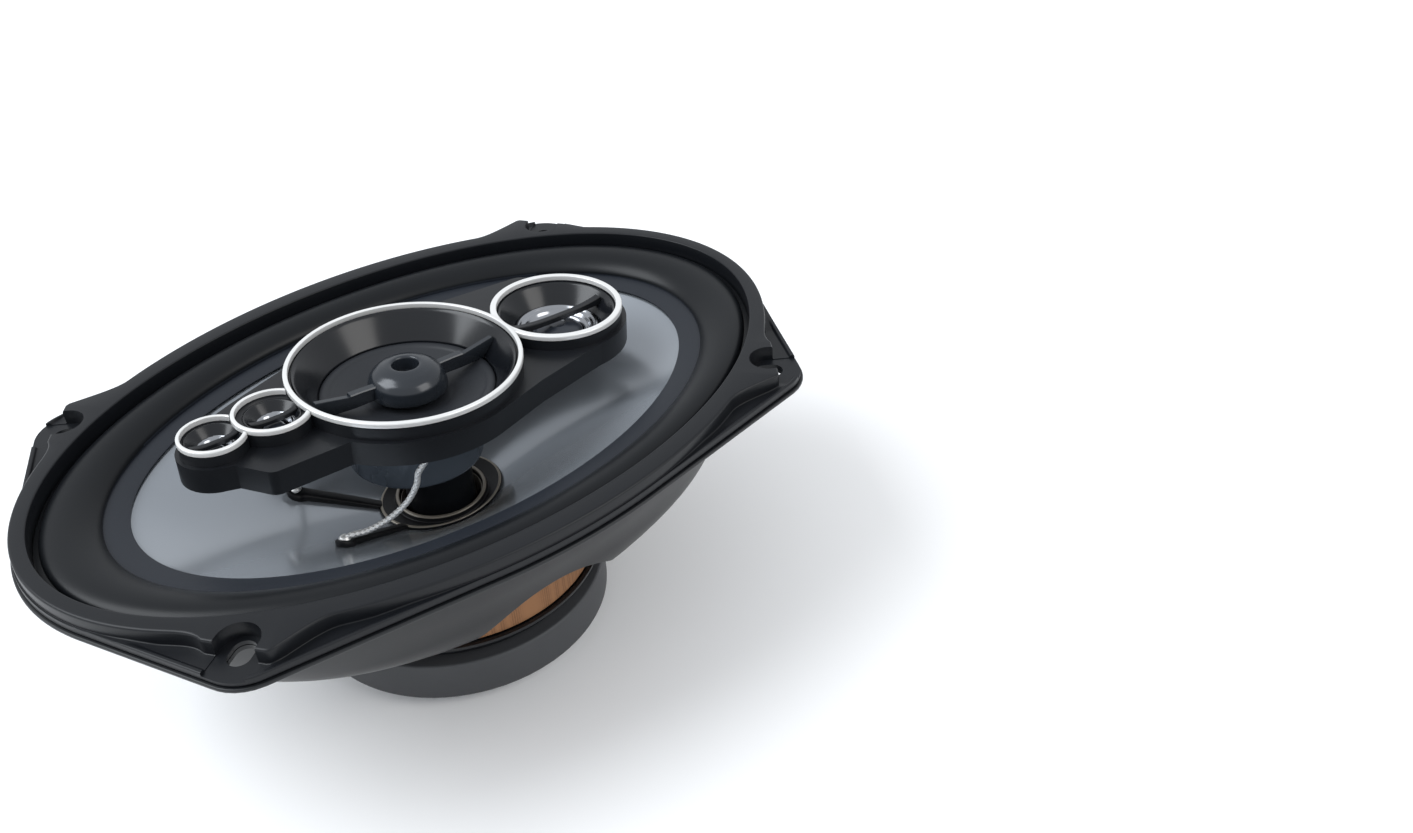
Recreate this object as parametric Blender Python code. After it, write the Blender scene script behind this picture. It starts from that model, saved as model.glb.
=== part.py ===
"""Coaxial 6x9 inch car loudspeaker with a five-driver front, as separate parts.

Lengths below are in millimetres and are turned into metres by MM. The origin is the
middle of the magnet's back face, +Z runs out through the cone and +X is the long axis
towards the large tweeter.
"""

import math

import bmesh
import bpy
from mathutils import Matrix, Vector

MM = 0.001
GAP = 0.3

OVAL_SEGMENTS = 48
ROUND_SEGMENTS = 36
SMALL_SEGMENTS = 24

# Motor
YOKE_RADIUS = 45.0
YOKE_PLATE = 3.0
POLE_RADIUS = 12.0
POLE_TOP = 22.5
MAGNET_RADIUS = 48.5
MAGNET_BORE = 22.0
MAGNET_TOP = 17.3
TOP_PLATE_RADIUS = 44.0
TOP_PLATE_BORE = 14.9
TOP_PLATE_TOP = 21.6
BOLT_RADIUS = 3.0
BOLT_HEAD_RADIUS = 6.5
BOLT_TOP = 38.0

# Basket and front trim
BASKET_FLOOR = 21.9
BASKET_WALL = 1.2
POT_RADIUS = 48.5
FLANGE_UNDER = 77.5
FLANGE_TOP = 78.7
RIM_LENGTH = 118.5
RIM_WIDTH = 81.9
EAR_X = 85.7
EAR_Y = 60.4
EAR_RADIUS = 12.6
EAR_INSET = 3.0
FLANGE_MARGIN = 0.8
GASKET_UNDER = 79.0
GASKET_LEDGE = 81.2
GASKET_TOP = 85.0
GASKET_INNER = (113.6, 75.1)
BOSS_RADIUS = 10.0
BOSS_INSET = 6.0
POCKET_RADIUS = 5.8
POCKET_FLOOR = 80.2
SCREW_RADIUS = 3.1
SCREW_STRETCH = 2.4

# Moving cone
CONE_TRAVEL = 4.0
CONE_EDGE = (94.5, 61.6)
CONE_TOP = 75.9
NECK_RADIUS = 13.4
NECK_TOP = 42.2
CONE_THICKNESS = 0.8
FORMER_RADIUS = 12.8
FORMER_TOP = 45.3
FORMER_BOTTOM = 12.5
SPIDER_RADIUS = 50.4

# Driver pod, in its own tilted frame: x along the pod, z out of its front plane
POD_CENTRE_X = -2.73
POD_PLANE = 96.7
POD_TILT = math.radians(4.1)
PLATE_TOP = -5.0
PLATE_UNDER = -12.5
SEAT_TOP = -1.9
MID = {"x": 0.0, "radius": 34.5, "bore": 33.1, "well": 32.5, "lift": 0.8}
TWEETER = {"x": 53.8, "radius": 20.65, "bore": 18.7, "well": 18.5, "lift": 0.0}
SUPER_A = {"x": -41.5, "radius": 11.0, "bore": 9.8, "well": 8.1, "lift": 0.5}
SUPER_B = {"x": -58.7, "radius": 9.35, "bore": 8.3, "well": 7.9, "lift": 0.0}
MOTOR_RADIUS = 20.3
MOTOR_UNDER = -32.0
STEM_RADIUS = 10.6

SATIN_BLACK = (0.024, 0.026, 0.030)
POD_BLACK = (0.035, 0.038, 0.042)
RUBBER_BLACK = (0.020, 0.021, 0.024)
CONE_SILVER = (0.34, 0.37, 0.41)
TRIM_SILVER = (0.83, 0.84, 0.86)
FERRITE = (0.055, 0.056, 0.060)
PLATED_STEEL = (0.42, 0.43, 0.45)
SPIDER_BROWN = (0.175, 0.078, 0.030)
CHROME = (0.90, 0.91, 0.93)
COPPER = (0.62, 0.27, 0.12)
KAPTON = (0.20, 0.16, 0.10)


def clear_scene():
    """Remove every object that the file holds."""
    for obj in list(bpy.data.objects):
        bpy.data.objects.remove(obj, do_unlink=True)


def material(name, colour, roughness, metallic):
    """Make one Principled material."""
    mat = bpy.data.materials.new(name)
    mat.use_nodes = True
    shader = mat.node_tree.nodes["Principled BSDF"]
    shader.inputs["Base Color"].default_value = (*colour, 1.0)
    shader.inputs["Roughness"].default_value = roughness
    shader.inputs["Metallic"].default_value = metallic
    return mat


def finish(name, mesh_builder, look, smooth=True):
    """Turn a bmesh into a named object with its own material."""
    bmesh.ops.recalc_face_normals(mesh_builder, faces=mesh_builder.faces)
    if mesh_builder.calc_volume(signed=True) < 0:
        bmesh.ops.reverse_faces(mesh_builder, faces=mesh_builder.faces)
    mesh = bpy.data.meshes.new(name)
    mesh_builder.to_mesh(mesh)
    mesh_builder.free()
    obj = bpy.data.objects.new(name, mesh)
    bpy.context.scene.collection.objects.link(obj)
    if look is not None:
        mesh.materials.append(material(name, *look))
    if smooth:
        mesh.shade_smooth()
        mesh.set_sharp_from_angle(angle=math.radians(32))
    return obj


def oval(a, b, count=OVAL_SEGMENTS):
    """Points round an ellipse with half axes a and b."""
    step = 2 * math.pi / count
    return [(a * math.cos(k * step), b * math.sin(k * step)) for k in range(count)]


def convex_hull(points):
    """Anticlockwise convex hull of flat points."""
    ordered = sorted(points)

    def half(run):
        chain = []
        for p in run:
            while len(chain) > 1:
                (ax, ay), (bx, by) = chain[-2], chain[-1]
                if (bx - ax) * (p[1] - ay) - (by - ay) * (p[0] - ax) > 0:
                    break
                chain.pop()
            chain.append(p)
        return chain[:-1]

    return half(ordered) + half(ordered[::-1])


def eared_outline(margin):
    """The oval rim joined to its four screw ears, grown outwards by margin."""
    points = oval(RIM_LENGTH + margin, RIM_WIDTH + margin, 180)
    inward = 1 - EAR_INSET / math.hypot(EAR_X, EAR_Y)
    for sx in (-1, 1):
        for sy in (-1, 1):
            for x, y in oval(EAR_RADIUS + margin, EAR_RADIUS + margin, 40):
                points.append((sx * EAR_X * inward + x, sy * EAR_Y * inward + y))
    hull = convex_hull(points)
    ring = []
    for dx, dy in oval(RIM_LENGTH, RIM_WIDTH):
        ring.append(ray_hit(hull, dx, dy))
    return ring


def ray_hit(outline, dx, dy):
    """Where the ray from the origin along (dx, dy) leaves a closed outline."""
    for (ax, ay), (bx, by) in zip(outline, outline[1:] + outline[:1]):
        ex, ey = bx - ax, by - ay
        cross = dx * ey - dy * ex
        if cross <= 1e-9:
            continue
        reach = (ax * ey - ay * ex) / cross
        along = (ax * dy - ay * dx) / cross
        if reach > 0 and -1e-9 <= along <= 1 + 1e-9:
            return (dx * reach, dy * reach)
    raise ValueError("outline isn't closed round the origin")


def ring_solid(name, stations, look, smooth=True):
    """A closed annular body from a loop of (outline, z) stations."""
    bm = bmesh.new()
    loops = []
    for outline, z in stations:
        loops.append([bm.verts.new((x * MM, y * MM, z * MM)) for x, y in outline])
    for low, high in zip(loops, loops[1:] + loops[:1]):
        for k in range(len(low)):
            n = (k + 1) % len(low)
            bm.faces.new((low[k], low[n], high[n], high[k]))
    return finish(name, bm, look, smooth)


def oval_ring(name, stations, look, count=OVAL_SEGMENTS):
    """A closed annular body from a loop of (a, b, z) half axes and heights."""
    return ring_solid(name, [(oval(a, b, count), z) for a, b, z in stations], look)


def turned_ring(name, stations, look, count=ROUND_SEGMENTS):
    """A closed turned ring from a loop of (radius, z) points."""
    return oval_ring(name, [(r, r, z) for r, z in stations], look, count)


def stacked(name, stations, look, smooth=True):
    """A closed body from (outline, z) stations with a flat cap at each end."""
    bm = bmesh.new()
    loops = []
    for outline, z in stations:
        loops.append([bm.verts.new((x * MM, y * MM, z * MM)) for x, y in outline])
    for low, high in zip(loops, loops[1:]):
        for k in range(len(low)):
            n = (k + 1) % len(low)
            bm.faces.new((low[k], low[n], high[n], high[k]))
    bm.faces.new(loops[0][::-1])
    bm.faces.new(loops[-1])
    return finish(name, bm, look, smooth)


def turned(name, stations, look, count=ROUND_SEGMENTS):
    """A solid turned body from (radius, z) points between its two flat ends."""
    return stacked(name, [(oval(r, r, count), z) for r, z in stations], look)


def shifted(outline, x, y):
    """An outline moved by x and y."""
    return [(px + x, py + y) for px, py in outline]


def cylinder(name, x, y, radius, z0, z1, look=None, count=SMALL_SEGMENTS):
    """A plain round bar along Z."""
    outline = shifted(oval(radius, radius, count), x, y)
    return stacked(name, [(outline, z0), (outline, z1)], look)


def block(name, corners, look=None):
    """A hexahedron from four lower and four upper corners, in millimetres."""
    bm = bmesh.new()
    verts = [bm.verts.new(Vector(c) * MM) for c in corners]
    bm.faces.new(verts[:4])
    bm.faces.new(verts[4:])
    for k in range(4):
        n = (k + 1) % 4
        bm.faces.new((verts[k], verts[n], verts[n + 4], verts[k + 4]))
    return finish(name, bm, look, smooth=False)


def box(name, low, high, look=None):
    """An upright box between two opposite corners, in millimetres."""
    (x0, y0, z0), (x1, y1, z1) = low, high
    foot = [(x0, y0), (x1, y0), (x1, y1), (x0, y1)]
    corners = [(x, y, z0) for x, y in foot] + [(x, y, z1) for x, y in foot]
    return block(name, corners, look)


def boolean(obj, tool, operation):
    """Join or cut with a tool that stays hidden."""
    tool.hide_render = True
    tool.hide_viewport = True
    tool.display_type = "WIRE"
    mod = obj.modifiers.new(tool.name, "BOOLEAN")
    mod.operation = operation
    mod.solver = "EXACT"
    mod.object = tool


def apply_booleans(obj):
    """Bake the Booleans into the mesh and drop their tools."""
    bpy.context.view_layer.update()
    tools = [mod.object for mod in obj.modifiers]
    for tool in tools:
        tool.hide_viewport = False
    bpy.context.view_layer.update()
    graph = bpy.context.evaluated_depsgraph_get()
    mesh = bpy.data.meshes.new_from_object(obj.evaluated_get(graph))
    obj.modifiers.clear()
    obj.data = mesh
    for tool in tools:
        bpy.data.objects.remove(tool, do_unlink=True)
    bm = bmesh.new()
    bm.from_mesh(mesh)
    bmesh.ops.remove_doubles(bm, verts=bm.verts, dist=0.00001)
    bmesh.ops.dissolve_degenerate(bm, edges=bm.edges, dist=0.00001)
    bm.to_mesh(mesh)
    bm.free()
    mesh.shade_smooth()
    mesh.set_sharp_from_angle(angle=math.radians(32))
    return obj


def joined(obj, tools):
    """Union an object with every tool."""
    for tool in tools:
        boolean(obj, tool, "UNION")
    return apply_booleans(obj)


def cut(obj, tools):
    """Subtract every tool from an object."""
    for tool in tools:
        boolean(obj, tool, "DIFFERENCE")
    return apply_booleans(obj)


def tube(name, route, radius, look, points=26):
    """A round lead along a smooth curve through its route, in millimetres."""
    knots = [Vector(p) for p in route]
    curve = bpy.data.curves.new(name, "CURVE")
    curve.dimensions = "3D"
    curve.bevel_depth = radius * MM
    curve.bevel_resolution = 2
    curve.use_fill_caps = True
    spline = curve.splines.new("POLY")
    spline.points.add(points - 1)
    for k in range(points):
        where = smooth_point(knots, k / (points - 1)) * MM
        spline.points[k].co = (*where, 1.0)
    curve.materials.append(material(name, *look))
    obj = bpy.data.objects.new(name, curve)
    bpy.context.scene.collection.objects.link(obj)
    return obj


def smooth_point(knots, share):
    """A point at a share of the way along a Catmull-Rom curve through knots."""
    spans = len(knots) - 1
    span = min(int(share * spans), spans - 1)
    t = share * spans - span
    p1, p2 = knots[span], knots[span + 1]
    p0 = knots[span - 1] if span else p1 * 2 - p2
    p3 = knots[span + 2] if span + 2 < len(knots) else p2 * 2 - p1
    return 0.5 * (
        p1 * 2
        + (p2 - p0) * t
        + (p0 * 2 - p1 * 5 + p2 * 4 - p3) * t * t
        + (p1 * 3 - p0 - p2 * 3 + p3) * t * t * t
    )


# Motor ------------------------------------------------------------------------------


def make_motor():
    """Yoke with its pole, ferrite magnet, top plate and the bolt of the pod."""
    steel = (PLATED_STEEL, 0.42, 0.9)
    bore = BOLT_RADIUS + GAP
    turned_ring(
        "yoke",
        [
            (BOLT_HEAD_RADIUS + 1.2, 0.0),
            (YOKE_RADIUS - 1.0, 0.0),
            (YOKE_RADIUS, 1.0),
            (YOKE_RADIUS, YOKE_PLATE),
            (POLE_RADIUS + 2.0, YOKE_PLATE),
            (POLE_RADIUS, YOKE_PLATE + 2.0),
            (POLE_RADIUS, POLE_TOP),
            (bore, POLE_TOP),
            (bore, 5.2),
            (BOLT_HEAD_RADIUS + 1.2, 5.2),
        ],
        steel,
    )
    turned_ring(
        "magnet",
        [
            (MAGNET_BORE, YOKE_PLATE + GAP),
            (MAGNET_RADIUS - 0.8, YOKE_PLATE + GAP),
            (MAGNET_RADIUS, YOKE_PLATE + GAP + 0.8),
            (MAGNET_RADIUS, MAGNET_TOP - 0.8),
            (MAGNET_RADIUS - 0.8, MAGNET_TOP),
            (MAGNET_BORE, MAGNET_TOP),
        ],
        (FERRITE, 0.5, 0.15),
        OVAL_SEGMENTS,
    )
    turned_ring(
        "top_plate",
        [
            (TOP_PLATE_BORE, MAGNET_TOP + GAP),
            (TOP_PLATE_RADIUS, MAGNET_TOP + GAP),
            (TOP_PLATE_RADIUS, TOP_PLATE_TOP),
            (TOP_PLATE_BORE, TOP_PLATE_TOP),
        ],
        steel,
    )
    bolt = turned(
        "pod_bolt",
        [(BOLT_RADIUS, 3.4), (BOLT_RADIUS, BOLT_TOP - 0.8), (BOLT_RADIUS - 0.8, BOLT_TOP)],
        (PLATED_STEEL, 0.3, 1.0),
        18,
    )
    head = cylinder("pod_bolt_head", 0, 0, BOLT_HEAD_RADIUS, 0.8, 4.6, count=6)
    joined(bolt, [head])


# Basket -----------------------------------------------------------------------------

# (half length, half width, height, squareness) of the wall's outside, from the floor up
WALL_PROFILE = (
    (47.3, 47.3, 21.9, 2.0),
    (48.5, 48.5, 23.1, 2.0),
    (48.5, 48.5, 34.6, 2.0),
    (53.5, 53.5, 35.3, 2.0),
    (69.0, 58.6, 38.5, 2.5),
    (86.5, 61.8, 45.5, 2.65),
    (99.0, 65.0, 54.0, 2.35),
    (107.2, 70.6, 64.5, 2.1),
    (112.8, 76.0, 77.5, 2.0),
)
# Half breadth and arch of each window; the one below the lead slot stays lower
WINDOWS = ((26.0, 9.6), (32.0, 19.0), (26.0, 9.6), (32.0, 26.0))
WALL_RISE = (1.2, 1.0, 1.2, 0.7, 0.9, 0.8, 0.7, 0.6, 1.2)


def section(a, b, square):
    """Points round an oval whose sides flatten as square grows past 2."""
    power = 2 / square
    return [
        (
            a * math.copysign(abs(x) ** power, x),
            b * math.copysign(abs(y) ** power, y),
        )
        for x, y in oval(1.0, 1.0)
    ]


def wall_width(z):
    """Half width of the basket wall's outside at a height."""
    rows = WALL_PROFILE[3:]
    for (_, b0, z0, _), (_, b1, z1, _) in zip(rows, rows[1:]):
        if z0 <= z <= z1:
            return b0 + (b1 - b0) * (z - z0) / (z1 - z0)
    raise ValueError("height is off the wall")


def make_basket():
    """Stamped basket with four side windows, four screw ears and a lead slot."""
    inner = [
        (section(a - BASKET_WALL, b - BASKET_WALL, square), z + rise)
        for (a, b, z, square), rise in zip(WALL_PROFILE, WALL_RISE)
    ]
    stations = [(oval(16.5, 16.5), BASKET_FLOOR)]
    stations += [(section(a, b, square), z) for a, b, z, square in WALL_PROFILE]
    stations.append((eared_outline(FLANGE_MARGIN), FLANGE_UNDER))
    stations.append((eared_outline(FLANGE_MARGIN), FLANGE_TOP))
    stations += inner[::-1]
    stations.append((oval(16.5, 16.5), BASKET_FLOOR + BASKET_WALL))
    basket = ring_solid("basket", stations, (SATIN_BLACK, 0.38, 0.25))
    tools = []
    for k, (half, rise) in enumerate(WINDOWS):
        tools.append(window_tool(f"window_{k}", math.radians(90 * k), half, rise))
    for k, (x, y) in enumerate(ear_centres()):
        tools.append(slot_tool(f"screw_slot_{k}", x, y, SCREW_RADIUS, SCREW_STRETCH, 73.0, 82.0))
    tools.append(box("lead_slot", (-8.0, 52.0, 50.0), (8.0, 72.0, 57.0)))
    cut(basket, tools)


def ear_centres():
    """The four screw positions."""
    return [(sx * EAR_X, sy * EAR_Y) for sx in (-1, 1) for sy in (-1, 1)]


def slot_tool(name, x, y, radius, stretch, z0, z1):
    """A slotted hole through an ear, stretched along its outward way."""
    way = Vector((x, y)).normalized()
    side = Vector((-way.y, way.x))
    outline = []
    for k in range(SMALL_SEGMENTS):
        angle = 2 * math.pi * k / SMALL_SEGMENTS
        push = stretch / 2 if math.cos(angle) > 0 else -stretch / 2
        p = way * (radius * math.cos(angle) + push) + side * radius * math.sin(angle)
        outline.append((x + p.x, y + p.y))
    return stacked(name, [(outline, z0), (outline, z1)], None)


def window_tool(name, turn, half, rise):
    """A crescent window: a flat sill under an arched head."""
    sill = 24.2
    count = 12
    profile = [(half, sill), (-half, sill)]
    for k in range(count + 1):
        across = -half + 2 * half * k / count
        arch = max(0.0, math.cos(across / half * math.pi / 2)) ** 0.6
        profile.append((across, sill + 0.8 + rise * arch))
    bm = bmesh.new()
    rows = []
    for reach in (34.0, 68.0):
        row = []
        for across, z in profile:
            x = reach * math.cos(turn) - across * math.sin(turn)
            y = reach * math.sin(turn) + across * math.cos(turn)
            row.append(bm.verts.new((x * MM, y * MM, z * MM)))
        rows.append(row)
    bm.faces.new(rows[0])
    bm.faces.new(rows[1][::-1])
    for k in range(len(profile)):
        n = (k + 1) % len(profile)
        bm.faces.new((rows[0][k], rows[1][k], rows[1][n], rows[0][n]))
    return finish(name, bm, None, smooth=False)


# Front trim -------------------------------------------------------------------------


def make_gasket_ring():
    """Moulded front ring: eared ledge, raised oval, and a pocket at each screw."""
    inner = oval(*GASKET_INNER)
    rim = oval(RIM_LENGTH - 0.5, RIM_WIDTH - 0.5)
    crown = oval(RIM_LENGTH - 1.5, RIM_WIDTH - 1.5)
    ledge = eared_outline(0.0)
    foot = [min(pair, key=lambda p: math.hypot(*p)) for pair in zip(rim, ledge)]
    ring = ring_solid(
        "gasket_ring",
        [
            (inner, GASKET_UNDER),
            (ledge, GASKET_UNDER),
            (ledge, GASKET_LEDGE),
            (foot, GASKET_LEDGE + 0.2),
            (foot, GASKET_TOP - 1.0),
            (crown, GASKET_TOP),
            (inner, GASKET_TOP),
        ],
        (SATIN_BLACK, 0.45, 0.0),
    )
    bosses = []
    pockets = []
    for k, (x, y) in enumerate(ear_centres()):
        way = Vector((x, y)).normalized()
        bx, by = x - way.x * BOSS_INSET, y - way.y * BOSS_INSET
        bosses.append(cylinder(f"boss_{k}", bx, by, BOSS_RADIUS, 80.0, GASKET_TOP - 0.05))
        px, py = x + way.x * 10.0, y + way.y * 10.0
        pockets.append(slot_tool(f"pocket_{k}", px, py, POCKET_RADIUS, 20.0, POCKET_FLOOR, 90.0))
        pockets.append(slot_tool(f"screw_{k}", x, y, SCREW_RADIUS, SCREW_STRETCH, 73.0, 82.0))
    joined(ring, bosses)
    keep_inside(ring)
    cut(ring, pockets)


def keep_inside(ring):
    """Trim whatever a boss leaves inside the ring's oval mouth."""
    a, b = GASKET_INNER
    mouth = stacked("mouth", [(oval(a, b), 60.0), (oval(a, b), 95.0)], None)
    cut(ring, [mouth])


# Cone assembly ----------------------------------------------------------------------


def cone_station(share):
    """Half axes and height of the cone's front face at a share of its depth."""
    a = NECK_RADIUS + (88.0 - NECK_RADIUS) * share
    b = NECK_RADIUS + (55.6 - NECK_RADIUS) * share
    z = NECK_TOP + (75.4 - NECK_TOP) * share**0.94
    return a, b, z


def cone_height(x, y):
    """Height of the cone's front face above a point."""
    low, high = 0.0, 1.0
    for _ in range(40):
        middle = (low + high) / 2
        a, b, _ = cone_station(middle)
        if (x / a) ** 2 + (y / b) ** 2 > 1:
            low = middle
        else:
            high = middle
    return cone_station(low)[2]


def make_cone_assembly():
    """Cone, surround, spider, voice coil and the collar at the neck."""
    shares = (0.0, 0.2, 0.45, 0.72, 1.0)
    front = [cone_station(s) for s in shares]
    front += [(89.0, 56.5, CONE_TOP), (*CONE_EDGE, 76.2)]
    back = [(*CONE_EDGE, 75.4), (89.4, 56.9, 75.1)]
    back += [(a + 0.5, b + 0.5, z - CONE_THICKNESS) for a, b, z in front[4::-1]]
    oval_ring("cone", front + back, (CONE_SILVER, 0.25, 0.6))
    oval_ring("surround", surround_stations(), (RUBBER_BLACK, 0.5, 0.0))
    turned_ring("spider", spider_stations(), (SPIDER_BROWN, 0.9, 0.0), 32)
    turned_ring(
        "voice_coil_former",
        [
            (FORMER_RADIUS - 0.3, FORMER_BOTTOM),
            (FORMER_RADIUS, FORMER_BOTTOM),
            (FORMER_RADIUS, FORMER_TOP),
            (FORMER_RADIUS - 0.3, FORMER_TOP),
        ],
        (KAPTON, 0.4, 0.3),
    )
    turned_ring(
        "voice_coil_winding",
        [
            (FORMER_RADIUS + GAP, 13.5),
            (FORMER_RADIUS + 1.4, 13.5),
            (FORMER_RADIUS + 1.4, 25.5),
            (FORMER_RADIUS + GAP, 25.5),
        ],
        (COPPER, 0.35, 0.9),
    )
    a0, b0, z0 = cone_station(0.012)
    a1, b1, z1 = cone_station(0.075)
    oval_ring(
        "neck_collar",
        [
            (13.1, 13.1, z0 + 0.9),
            (a0 + 0.6, b0 + 0.6, z0 + 0.9),
            (a1, b1, z1 + 0.5),
            (a1 - 0.4, b1 - 0.4, z1 + 1.3),
            (14.1, 14.1, 45.4),
            (13.9, 13.9, 46.9),
            (13.1, 13.1, 46.9),
        ],
        (RUBBER_BLACK, 0.55, 0.0),
    )


def surround_stations():
    """Half-roll with an outer lip and an inner band over the cone's edge."""
    lip = [(113.1, 74.6, 79.0), (113.1, 74.6, 79.8)]
    top, under = [], []
    for k in range(9):
        angle = math.pi * k / 8
        spread = (1 - math.cos(angle)) / 2
        a = 111.8 + (95.6 - 111.8) * spread
        b = 73.3 + (62.4 - 73.3) * spread
        rise = math.sin(angle)
        base = 79.8 - 2.5 * spread
        top.append((a, b, base + 3.6 * rise + 0.1))
        push = 0.75 * math.cos(angle)
        under.append((a - push, b - push, base + 3.5 * rise - 0.7))
    band = [(88.4, 55.9, 76.95), (88.4, 55.9, 76.3), (89.6, 57.0, 76.5), (95.0, 62.0, 76.55)]
    return lip + top + band + under[::-1]


def spider_stations():
    """Corrugated cup spider from its flange on the basket ledge to the former."""
    top = [(SPIDER_RADIUS, 37.0), (46.1, 37.0), (46.1, 25.1), (45.3, 25.1), (45.1, 30.6)]
    under = [(SPIDER_RADIUS, 36.3), (46.8, 36.3), (46.8, 24.4), (44.6, 24.4), (44.4, 29.9)]
    for k in range(9):
        r, z = 41.5 - 3.05 * k, 27.9 if k % 2 == 0 else 31.0
        top.append((r, z))
        under.append((r, z - 0.7))
    top.append((13.2, 31.0))
    under.append((13.2, 30.3))
    return top + under[::-1]


# Leads and terminals ----------------------------------------------------------------

EYELET = (-39.2, 15.6)
ARM_RADIUS = 2.8


def make_front_leads():
    """Braided leads from the pod to the cone, and the sealed strips they join."""
    for tag, side in (("left", 1), ("right", -1)):
        ex, ey = EYELET[0], EYELET[1] * side
        ez = cone_height(ex, ey)
        make_lead_strip(f"lead_strip_{tag}", ex, ey)
        route = [
            Vector((-15.0, 28.5 * side, 83.6)),
            Vector((-17.7, 27.1 * side, 78.6)),
            Vector((-18.8, 26.5 * side, 74.5)),
            Vector((-21.9, 24.8 * side, 69.0)),
            Vector((-27.0, 22.1 * side, 64.3)),
            Vector((-32.6, 19.1 * side, 61.3)),
            Vector((-37.0, 16.8 * side, 60.6)),
            Vector((ex, ey, ez + 3.6)),
        ]
        tube(f"front_lead_{tag}", route, 0.8, (TRIM_SILVER, 0.4, 0.8))


def make_lead_strip(name, ex, ey):
    """Black arm along the cone from its neck to the round end under a lead's eyelet."""
    centre = Vector((ex, ey))
    way = centre.normalized()
    side = Vector((-way.y, way.x))
    stations = [(19.5 - centre.length, 1.7), (-16.0, 1.8), (-9.0, 2.0), (-4.0, 2.3)]
    stations += [(ARM_RADIUS * math.sin(t), ARM_RADIUS * math.cos(t)) for t in (-0.5, 0.0, 0.5, 1.0)]
    stations.append((ARM_RADIUS, 0.5))
    bm = bmesh.new()
    rows = []
    for along, half in stations:
        row = []
        for share, lift in ((-1.0, 0.4), (1.0, 0.4), (1.0, 1.9), (0.7, 2.4), (-0.7, 2.4), (-1.0, 1.9)):
            p = centre + way * along + side * half * share
            row.append(bm.verts.new((p.x * MM, p.y * MM, (cone_height(p.x, p.y) + lift) * MM)))
        rows.append(row)
    for low, high in zip(rows, rows[1:]):
        for k in range(len(low)):
            n = (k + 1) % len(low)
            bm.faces.new((low[k], low[n], high[n], high[k]))
    bm.faces.new(rows[0][::-1])
    bm.faces.new(rows[-1])
    finish(name, bm, (RUBBER_BLACK, 0.5, 0.0), smooth=False)


def board_frame():
    """Frame of the terminal board on the basket's +Y wall: x across, y up, z out."""
    low = Vector((0.0, wall_width(44.0), 44.0))
    high = Vector((0.0, wall_width(65.0), 65.0))
    up = (high - low).normalized()
    across = Vector((-1.0, 0.0, 0.0))
    out = across.cross(up)
    middle = (low + high) / 2
    spin = Matrix((across, up, out)).transposed().to_4x4()
    return Matrix.Translation(middle * MM) @ spin


def make_terminals():
    """Terminal board with its two spade tabs, the capacitor and the rear leads."""
    frame = board_frame()
    board = box("terminal_board", (-16.0, -9.5, 0.4), (16.0, 9.5, 2.2), ((0.05, 0.035, 0.022), 0.6, 0.0))
    tabs = [
        box("terminal_tab_positive", (-11.5, -14.5, 2.5), (-5.2, 3.0, 3.3), (PLATED_STEEL, 0.3, 1.0)),
        box("terminal_tab_negative", (5.2, -14.5, 2.5), (10.0, 3.0, 3.3), (PLATED_STEEL, 0.3, 1.0)),
    ]
    for piece in (board, *tabs):
        piece.data.transform(frame)
    can = turned(
        "crossover_capacitor",
        [(4.0, -4.8), (4.0, 4.8)],
        ((0.02, 0.03, 0.06), 0.35, 0.0),
        18,
    )
    can.data.transform(
        frame @ Matrix.Translation(Vector((0.0, 4.9, 6.6)) * MM) @ Matrix.Rotation(math.pi / 2, 4, "Y")
    )
    for tag, side in (("left", -1), ("right", 1)):
        route = [
            Vector((4.5 * side, wall_width(53.5) - 0.6, 53.2)),
            Vector((5.5 * side, wall_width(53.5) - 7.0, 49.5)),
            Vector((7.0 * side, 44.0, 44.8)),
            Vector((8.0 * side, 33.0, 45.6)),
            Vector((8.2 * side, 25.5, cone_height(8.2, 25.5) - 2.2)),
        ]
        tube(f"rear_lead_{tag}", route, 0.7, (TRIM_SILVER, 0.4, 0.8), 22)


# Driver pod -------------------------------------------------------------------------


def pod_matrix(unit=1.0):
    """From the pod's own frame to the world, with lengths scaled by unit."""
    spot = Vector((POD_CENTRE_X, 0.0, POD_PLANE)) * unit
    return Matrix.Translation(spot) @ Matrix.Rotation(POD_TILT, 4, "Y")


def place_in_pod(obj, x=0.0, z=0.0):
    """Seat a piece modelled about its own axis in the pod."""
    obj.matrix_world = pod_matrix(MM) @ Matrix.Translation(Vector((x, 0.0, z)) * MM)
    return obj


def pod_plate_outline():
    """Outline of the pod's base plate, anticlockwise from the front."""
    points = []

    def arc(cx, cy, radius, start, stop, count):
        for k in range(count + 1):
            angle = math.radians(start + (stop - start) * k / count)
            points.append((cx + radius * math.cos(angle), cy + radius * math.sin(angle)))

    arc(TWEETER["x"], 0.0, 21.9, -88, 58, 12)
    arc(57.0, 25.8, 5.3, 10, 95, 4)
    points.append((15.3, 33.5))
    arc(0.0, 0.0, 35.6, 70, 128, 5)
    points += [(-45.6, 18.6), (-58.4, 12.8)]
    arc(SUPER_B["x"], 0.0, 10.4, 118, 255, 8)
    points.append((-57.8, -11.3))
    arc(-49.8, -17.2, 3.6, 215, 270, 3)
    points.append((-29.3, -20.8))
    arc(0.0, 0.0, 35.6, 217, 286, 6)
    points.append((29.2, -27.8))
    return points


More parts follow.
